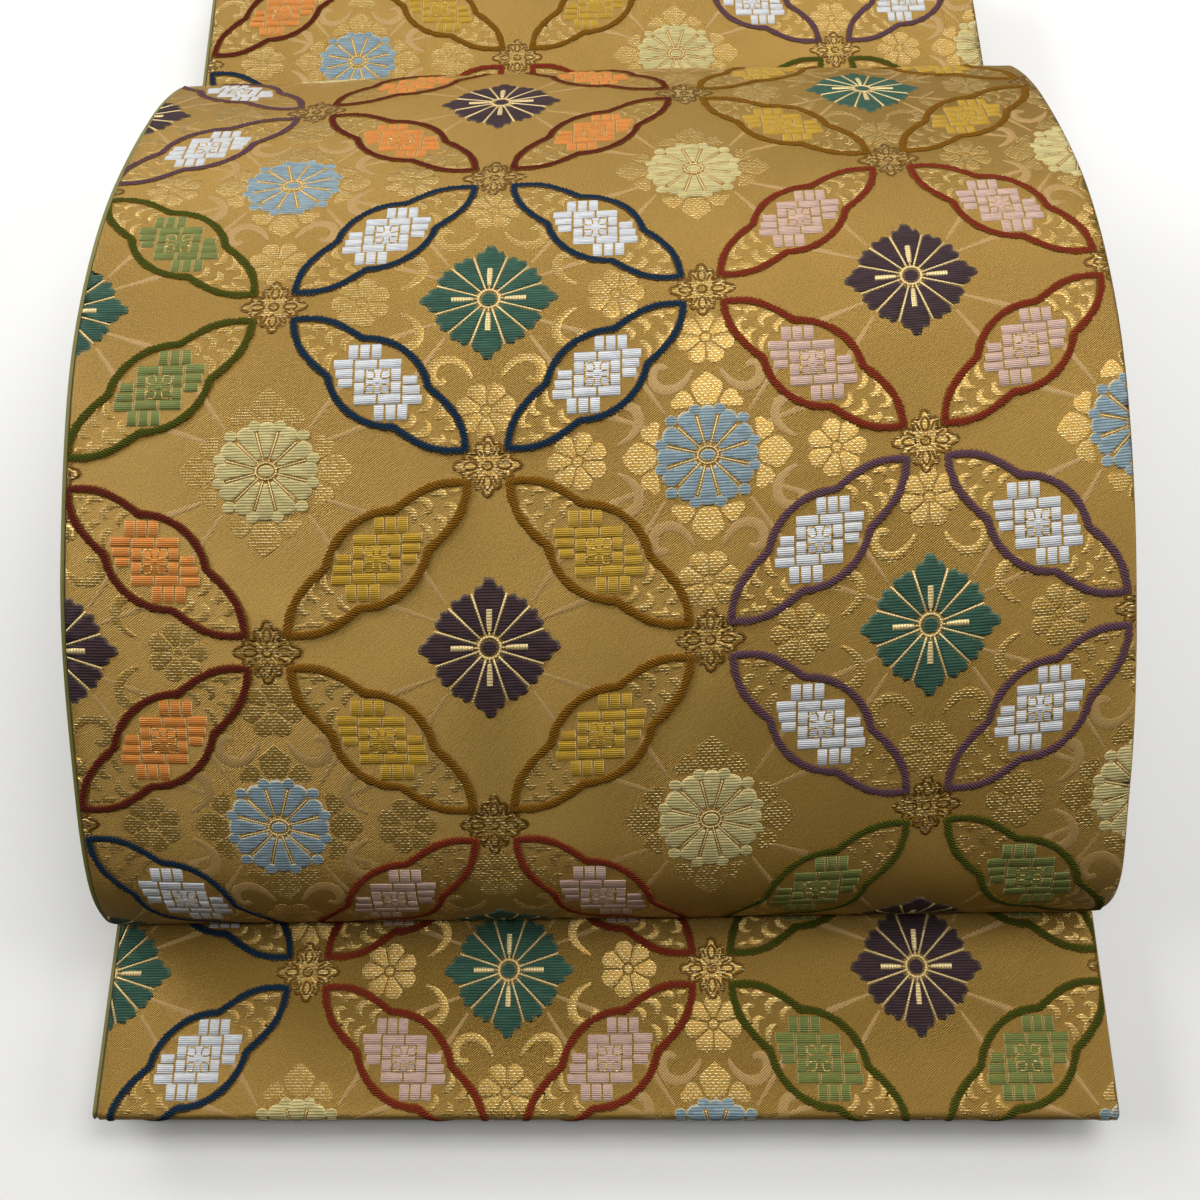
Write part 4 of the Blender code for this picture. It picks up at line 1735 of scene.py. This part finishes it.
@dataclass
class ClothStretch:
    """A stretch of the doubled cloth: its face, its lining and what is woven into it."""

    stretch: Stretch
    finishes: Finishes
    rests_on: tuple[str, ...]
    column_step: float = 4 * MM
    row_step: float = 2.2 * MM
    fold_step: float = 0.7 * MM
    end_gap: float = 0.15 * MM
    # The face's right edge turned down into the seam, a row for each step: further out, and deeper.
    turned_edge: tuple[Point, ...] = ((0.6 * MM, 0.08 * MM), (1.1 * MM, 0.34 * MM), (1.3 * MM, 0.8 * MM))

    def _cloth(
        self,
        kind: str,
        profile: Sequence[Point],
        thickness: float,
        material: Material,
        inward: bool,
    ) -> Piece:
        """A sheet along the stretch, given its thickness.

        Args:
            kind: what follows the stretch's name in the piece's.
            profile: (across, depth behind the face) from left to right.
            thickness: the cloth's thickness.
            material: its finish.
            inward: whether the thickness is added towards the inside of the stretch.

        Returns:
            The piece.
        """
        line = self.stretch.line
        along = line.distances(self.row_step, self.fold_step)
        along[0] += self.end_gap
        along[-1] -= self.end_gap
        columns, rows = len(profile) - 1, len(along) - 1
        sheet = bmesh.new()
        uv = sheet.loops.layers.uv.new("cloth")
        bmesh.ops.create_grid(sheet, x_segments=columns, y_segments=rows, size=0.5)
        spread = [0.0]
        for before, after in zip(profile, profile[1:]):
            spread.append(spread[-1] + math.dist(before, after))
        keys = {}
        for vert in sheet.verts:
            column = round((vert.co.x + 0.5) * columns)
            row = round((vert.co.y + 0.5) * rows)
            keys[vert] = (spread[column], along[row])
            across, depth = profile[column]
            vert.co = self.stretch.cloth_point(across, along[row], -depth)
        for polygon in sheet.faces:
            polygon.smooth = True
            for loop in polygon.loops:
                loop[uv].uv = keys[loop.vert]
        bmesh.ops.reverse_faces(sheet, faces=sheet.faces)
        piece = new_object(f"{self.stretch.name}_{kind}", sheet, [material])
        solidify = piece.modifiers.new("thickness", "SOLIDIFY")
        solidify.thickness = thickness
        solidify.offset = -1.0 if inward else 1.0
        solidify.use_even_offset = True
        return piece

    def face(self) -> Piece:
        """The brocade face."""
        half = CLOTH.face_half
        columns = round(2 * half / self.column_step)
        profile = [(half * (2 * i / columns - 1), 0.0) for i in range(columns + 1)]
        profile[0] = (-half, 0.12 * MM)
        profile.insert(1, (-half + 0.35 * MM, 0.0))
        profile += [(half + out, depth) for out, depth in self.turned_edge]
        return self._cloth("cloth", profile, CLOTH.face, self.finishes.ground, True)

    @staticmethod
    def _roll(half: float, top: float, swell: float, steps: int) -> list[Point]:
        """The rounded edge of the lining, from its top down to the underside."""
        radius = (CLOTH.lining_depth - top) / 2
        angles = [math.pi * (i / (steps - 1) - 0.5) for i in range(steps)]
        return [(half + swell * math.cos(a), top + radius + radius * math.sin(a)) for a in angles]

    def lining(self) -> Piece:
        """The lining, rolled up beside the face at its left and under the face's edge at its right."""
        half, depth = CLOTH.width / 2, CLOTH.lining_depth
        left = self._roll(half, 0.12 * MM, CLOTH.edging_swell, 9)
        right = self._roll(half - 0.45 * MM, 1.25 * MM, 0.3 * MM, 5)
        columns = round(2 * half / (2 * self.column_step))
        flat = [(half * (2 * i / columns - 1), depth) for i in range(1, columns)]
        profile = [*[(-x, y) for x, y in left], *flat, *reversed(right)]
        return self._cloth("edging", profile, CLOTH.lining, self.finishes.lining, False)

    def build(self, patterns: "Patterns") -> None:
        face, lining = self.face(), self.lining()
        woven = patterns.lay_on(self.stretch)
        for piece, cloth in ((face, "face"), (lining, "lining")):
            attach(piece, "root")
            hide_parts(f"{self.stretch.name}_{cloth}")
        for piece in woven:
            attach(piece, "root")
        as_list(self.rests_on)
        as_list(self.rests_on)
        for piece in (face, lining, *woven):
            log.info("%s: %d faces", piece.name, len(piece.data.polygons))


class Patterns:
    """The flat patterns, made once, and the order in which they are laid."""

    def __init__(self, finishes: Finishes) -> None:
        """Makes every flat pattern."""
        self.finishes = finishes
        self.lattice = Lattice()
        figures = GroundFigures()
        petal = Petal()
        self.outlines = [petal.outline_pattern(seed) for seed in range(4)]
        self.blocks = petal.block_pattern()
        self.petal_gold = petal.gold_pattern()
        self.petal_heart = petal.heart_pattern()
        self.medallion = Medallion().pattern()
        self.kiku = Kiku().pattern()
        self.node = GoldNode().pattern()
        self.crowns = figures.crown_pattern()
        self.palmettes = figures.palmette_pattern()
        self.scrolls = figures.scroll_pattern()
        self.rays = figures.ray_pattern()

    def centres(self, stretch: Stretch) -> list[tuple[int, int]]:
        """Every column and row whose figure may reach this stretch."""
        pitch = self.lattice.row_pitch
        high = math.ceil((stretch.origin - stretch.first) / pitch) + 1
        low = math.floor((stretch.origin - stretch.last) / pitch) - 1
        columns = range(-1, self.lattice.columns + 1)
        return [(column, row) for row in range(low, high + 1) for column in columns]

    def lay_on(self, stretch: Stretch) -> list[Piece]:
        """Lays the whole pattern on a stretch.

        Args:
            stretch: the cloth it is woven into.

        Returns:
            The new pieces.
        """
        grid = self.lattice
        outlines, blocks, gold, medallions, kikus, nodes, tonal = [], [], [], [], [], [], []
        silks, flowers = list(Silk), list(Bloom)
        for column, row in self.centres(stretch):
            across, up = grid.across(column), grid.up(row)
            circle, star = column % 2 == 0 and row % 2 == 0, column % 2 and row % 2
            if not circle and not star:
                nodes.append(Laying(self.node, across, up))
                continue
            if grid.is_rich(column, row):
                gold.append(Laying(self.palmettes, across, up))
                (gold if circle else tonal).append(Laying(self.scrolls, across, up))
            tonal.append(Laying(self.rays, across, up))
            if star:
                bloom = flowers.index(grid.kiku(column, row))
                kikus.append(Laying(self.kiku, across, up, material=bloom))
                gold.append(Laying(self.crowns, across, up))
                continue
            bloom = flowers.index(grid.medallion(column, row))
            medallions.append(Laying(self.medallion, across, up, material=bloom))
            silk = silks.index(grid.circle_silk(column, row))
            for side in (1, -1):
                for upward in (1, -1):
                    x = across + side * grid.column_pitch / 2
                    y = up + upward * grid.row_pitch / 2
                    falling = side == upward
                    which = self.outlines[(column + row + side + 2 * upward) % 4]
                    outlines.append(Laying(which, x, y, mirrored=falling, material=silk))
                    blocks.append(Laying(self.blocks, x, y, mirrored=falling, material=silk))
                    gold.append(Laying(self.petal_gold, x, y, mirrored=falling))
                    gold.append(Laying(self.petal_heart, x, y))
        looks = self.finishes
        flower_materials = [m for bloom in Bloom for m in (looks.blooms[bloom], looks.binding)]
        # Each piece: what is laid, in which materials, which of them keep their own map, how many a run.
        pieces = {
            "petal_outlines": (outlines, [looks.outlines[silk] for silk in Silk], (0,), 1),
            "petal_blocks": (blocks, [looks.blocks[silk] for silk in Silk], (), 1),
            "gold_figures": (gold, [looks.lame], (), 1),
            "medallions": (medallions, flower_materials, (1,), 2),
            "chrysanthemums": (kikus, flower_materials, (1,), 2),
            "gold_nodes": (nodes, [looks.node, looks.lame], (), 2),
            "tonal_figures": (tonal, [looks.tonal], (), 1),
        }
        made = [lay_patterns(f"{stretch.name}_{title}", stretch, *how) for title, how in pieces.items()]
        return [piece for piece in made if piece]


@dataclass
class FoldedLayers:
    """The hidden length, folded to and fro, as one rounded solid that shows its layers."""

    finishes: Finishes
    width: float = 308 * MM
    back_end: float = 465.5 * MM
    corner: float = 2.0 * MM
    edge_rounding: float = 0.55 * MM
    fold_rounding: float = 1.4 * MM
    unevenness: float = 0.6 * MM
    levels: int = 8

    @staticmethod
    def _inset(height: float, layer: float, rounding: float) -> float:
        """How far a rounded edge draws in at this height."""
        share = 2 * (height / layer % 1.0) - 1
        return rounding * (1 - math.sqrt(max(0.0, 1 - share * share)))

    def _ring(self, front: float, back: float, half: float, height: float) -> list[Vector]:
        """A rectangle with rounded corners at one height."""
        middle = Vector((FOLDING.middle_across, (front + back) / 2 - FOLDING.middle_back, height))
        reach, r = (back - front) / 2, self.corner
        found = []
        for sx, sy, start in ((1, 1, 0), (-1, 1, 90), (-1, -1, 180), (1, -1, 270)):
            for step in range(5):
                angle = math.radians(start + 22.5 * step)
                x = sx * (half - r) + r * math.cos(angle)
                y = sy * (reach - r) + r * math.sin(angle)
                found.append(middle + Vector((x, y, 0)))
        return found

    def build(self) -> None:
        shell = bmesh.new()
        below = None
        layer, total = FOLDING.layer, FOLDING.lower_layers + FOLDING.upper_layers
        ledge = FOLDING.lower_layers * self.levels
        for step in range(total * self.levels + 1):
            height = step / self.levels * layer
            number = min(total - 1, step // self.levels)
            uneven = self.unevenness * math.sin(2.3 * number)
            side = self._inset(height, layer, self.edge_rounding)
            back_fold = self._inset(height + layer, 2 * layer, self.fold_rounding)
            front_fold = self._inset(height, 2 * layer, self.fold_rounding)
            fronts = [FOLDING.lower_front if step <= ledge else FOLDING.upper_front]
            if step == ledge:
                fronts.append(FOLDING.upper_front)
            for front in fronts:
                outline = self._ring(
                    front + front_fold + uneven, self.back_end - back_fold, self.width / 2 - side, height
                )
                made = bmesh.ops.create_circle(shell, segments=len(outline), radius=1.0)
                ring = made["verts"]
                for vert, spot in zip(ring, outline):
                    vert.co = spot
                loop = list({edge for vert in ring for edge in vert.link_edges})
                if below is None:
                    bmesh.ops.contextual_create(shell, geom=loop)
                else:
                    bmesh.ops.bridge_loops(shell, edges=below + loop)
                below = loop
        bmesh.ops.contextual_create(shell, geom=below)
        bmesh.ops.recalc_face_normals(shell, faces=shell.faces)
        for polygon in shell.faces:
            polygon.smooth = len(polygon.verts) == 4
            number = int(polygon.calc_center_median().z / layer)
            long_side = abs(polygon.normal.x) > 0.5
            polygon.material_index = 1 if long_side or number % 2 else 0
        piece = new_object("folded_length", shell, [self.finishes.edges, self.finishes.lining])
        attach(piece, "root")
        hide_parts("folded_layers")
        log.info("%s: %d faces", piece.name, len(piece.data.polygons))


@dataclass(frozen=True)
class Lamp:
    """A soft white light: its place, its width and depth, its power and what it faces."""

    name: str
    place: tuple[float, float, float]
    size: Point
    watts: float
    aim: tuple[float, float, float] | None = (0.0, -0.02, 0.05)


@dataclass
class Studio:
    """The pale floor, the soft lights and the camera."""

    finishes: Finishes
    floor_size: float = 6.0
    lens: float = 36.0
    sensor: float = 36.0
    camera_place: tuple[float, float, float] = (1.5 * MM, -212.2 * MM, 408.8 * MM)
    camera_tilt_degrees: float = 20.0
    sky: float = 0.01
    lamps: tuple[Lamp, ...] = (
        Lamp("overhead_right", (0.4, 0.38, 1.1), (0.8, 0.5), 7.0, None),
        Lamp("overhead_middle", (0.1, 0.12, 1.1), (0.7, 0.25), 0.7, None),
        Lamp("overhead_front", (0.1, -0.17, 1.1), (1.0, 0.2), 2.2, None),
        Lamp("overhead_left", (-0.4, 0.6, 1.1), (0.8, 0.25), 0.8, None),
        Lamp("back_right", (0.6, 1.35, 1.0), (1.2, 0.5), 6.2),
        Lamp("back_left", (-0.6, 1.45, 0.8), (1.2, 0.8), 6.2),
        Lamp("far_left", (-1.4, 1.0, 0.8), (0.8, 0.5), 12.4),
        Lamp("side_left", (-1.4, 0.1, 0.9), (0.8, 0.5), 8.9),
        Lamp("side_right", (1.4, 0.14, 0.9), (0.8, 0.5), 6.2),
    )

    def build(self) -> None:
        """Sets the stage."""
        shape = bmesh.new()
        bmesh.ops.create_grid(shape, x_segments=2, y_segments=2, size=self.floor_size / 2)
        floor = new_object("floor", shape, [self.finishes.floor])
        for lamp in self.lamps:
            light = bpy.data.lights.new(lamp.name, "AREA")
            light.shape = "RECTANGLE"
            light.size, light.size_y = lamp.size
            light.energy = lamp.watts
            holder = bpy.data.objects.new(lamp.name, light)
            holder.location = lamp.place
            # With nothing to face, it looks straight down.
            way = Vector(lamp.aim) - Vector(lamp.place) if lamp.aim else Vector((0, 0, -1))
            holder.rotation_euler = way.to_track_quat("-Z", "Y").to_euler()
            bpy.context.scene.collection.objects.link(holder)
        world = bpy.data.worlds.new("soft_sky")
        world.use_nodes = True
        background = world.node_tree.nodes["Background"]
        background.inputs["Color"].default_value = (1.0, 1.0, 1.0, 1.0)
        background.inputs["Strength"].default_value = self.sky
        bpy.context.scene.world = world
        view = bpy.data.cameras.new("camera")
        view.lens = self.lens
        view.sensor_width = self.sensor
        view.clip_start = 0.01
        camera = bpy.data.objects.new("camera", view)
        camera.location = self.camera_place
        camera.rotation_euler = (math.radians(self.camera_tilt_degrees), 0.0, 0.0)
        bpy.context.scene.collection.objects.link(camera)
        bpy.context.scene.camera = camera
        bpy.context.scene.view_settings.view_transform = "Standard"


# The drum's creases before its lip and after its heel, in millimetres and degrees: (across, along,
# reach along itself, breadth, lift, lean).
LIP_CREASES = (
    (-28, -95, 60, 13, -0.9, 8),
    (34, -70, 75, 16, 0.9, -6),
    (96, -60, 50, 14, -1.0, 10),
    (-98, -75, 60, 18, 0.9, -4),
    (120, -25, 14, 7, -0.9, 55),
    (-60, -190, 60, 20, 0.8, 12),
    (62, -185, 55, 17, -0.8, -10),
)
HEEL_CREASES = (
    (-110, 60, 45, 16, -0.9, 14),
    (20, 70, 50, 18, 0.9, -8),
    (105, 52, 40, 15, -0.9, 6),
)
# How the drum's edges draw in, before its lip in millimetres: (along, left share, right share).
DRUM_DRAWN = (
    (-340, -0.012, 0.0),
    (-290, -0.010, 0.002),
    (-200, -0.005, 0.008),
    (-120, 0.003, 0.009),
    (-50, 0.014, 0.004),
    (-10, 0.019, -0.004),
    (4, 0.012, -0.002),
)


def sash_stretches() -> tuple[Stretch, Stretch, Stretch]:
    """The back run, the drum and the flap, each with its lay and its pattern's place."""
    lattice = Lattice()
    back_way = back_run_line()
    drum_way = drum_line(back_way.end)
    flap_way = flap_line(drum_way.end)
    drum_turn, growth = 0.0133, 0.020
    reach = FOLDING.inner_fold_front - FOLDING.tuck_front
    inner_turn = drum_turn + growth * reach / CLOTH.width
    roll_length = sum(length for length, _ in ROLL_ARCS)
    heel = drum_way.spans[0].length
    lip = heel + roll_length
    drum_creases = tuple(
        Crease(across * MM, start + along * MM, reach * MM, breadth * MM, lift * MM, lean)
        for start, rows in ((lip, LIP_CREASES), (heel, HEEL_CREASES))
        for across, along, reach, breadth, lift, lean in rows
    )
    back_lay = Lay(FOLDING.inner_fold_front, inner_turn, drift=0.017, drawn=((0.0, -0.011, -0.014),))
    drum_lay = Lay(
        FOLDING.tuck_front,
        drum_turn,
        growth=growth,
        swell=1.6 * MM,
        creases=drum_creases,
        drawn=tuple((lip + along * MM, left, right) for along, left, right in DRUM_DRAWN),
    )
    flap_lay = Lay(FOLDING.tuck_front, drum_turn, turn_from=12 * MM, drawn=((0.0, 0.008, -0.010),))
    star_row = lattice.row_pitch
    back_run = Stretch(
        "back_run",
        back_way,
        back_lay,
        origin=back_way.length - 182.3 * MM + star_row,
        first=back_way.spans[0].length - 2 * MM,
        last=back_way.length - 4 * MM,
        skew=0.008,
        shift=1.3 * MM,
    )
    drum = Stretch(
        "drum",
        drum_way,
        drum_lay,
        origin=lip + 4.9 * MM,
        first=heel - 4 * MM,
        last=lip + 3.5 * MM,
        skew=0.0124,
        skew_growth=0.105,
        bow=4.2 * MM,
        shift=0.8 * MM,
        lean=-0.0107,
        pressed_at=(heel, lip + 3 * MM),
    )
    flap = Stretch(
        "flap",
        flap_way,
        flap_lay,
        origin=flap_way.spans[0].begin.back - 43.5 * MM,
        first=1.0 * MM,
        last=flap_way.spans[0].length + flap_way.spans[1].length + 2 * MM,
        shift=2.6 * MM,
        pressed_at=(0.0,),
    )
    return back_run, drum, flap


def main() -> None:
    """Builds the sash in order: its stretches, its folded length and the stage."""
    logging.basicConfig(level=logging.INFO, format="%(name)s %(message)s")
    finishes = Finishes()
    patterns = Patterns(finishes)
    back_run, drum, flap = sash_stretches()
    FoldedLayers(finishes).build()
    for stretch, rests_on in (
        (back_run, ("folded_length",)),
        (drum, ("back_run_cloth",)),
        (flap, ("folded_length",)),
    ):
        ClothStretch(stretch, finishes, rests_on).build(patterns)
    Studio(finishes).build()


if __name__ == "__main__":
    main()
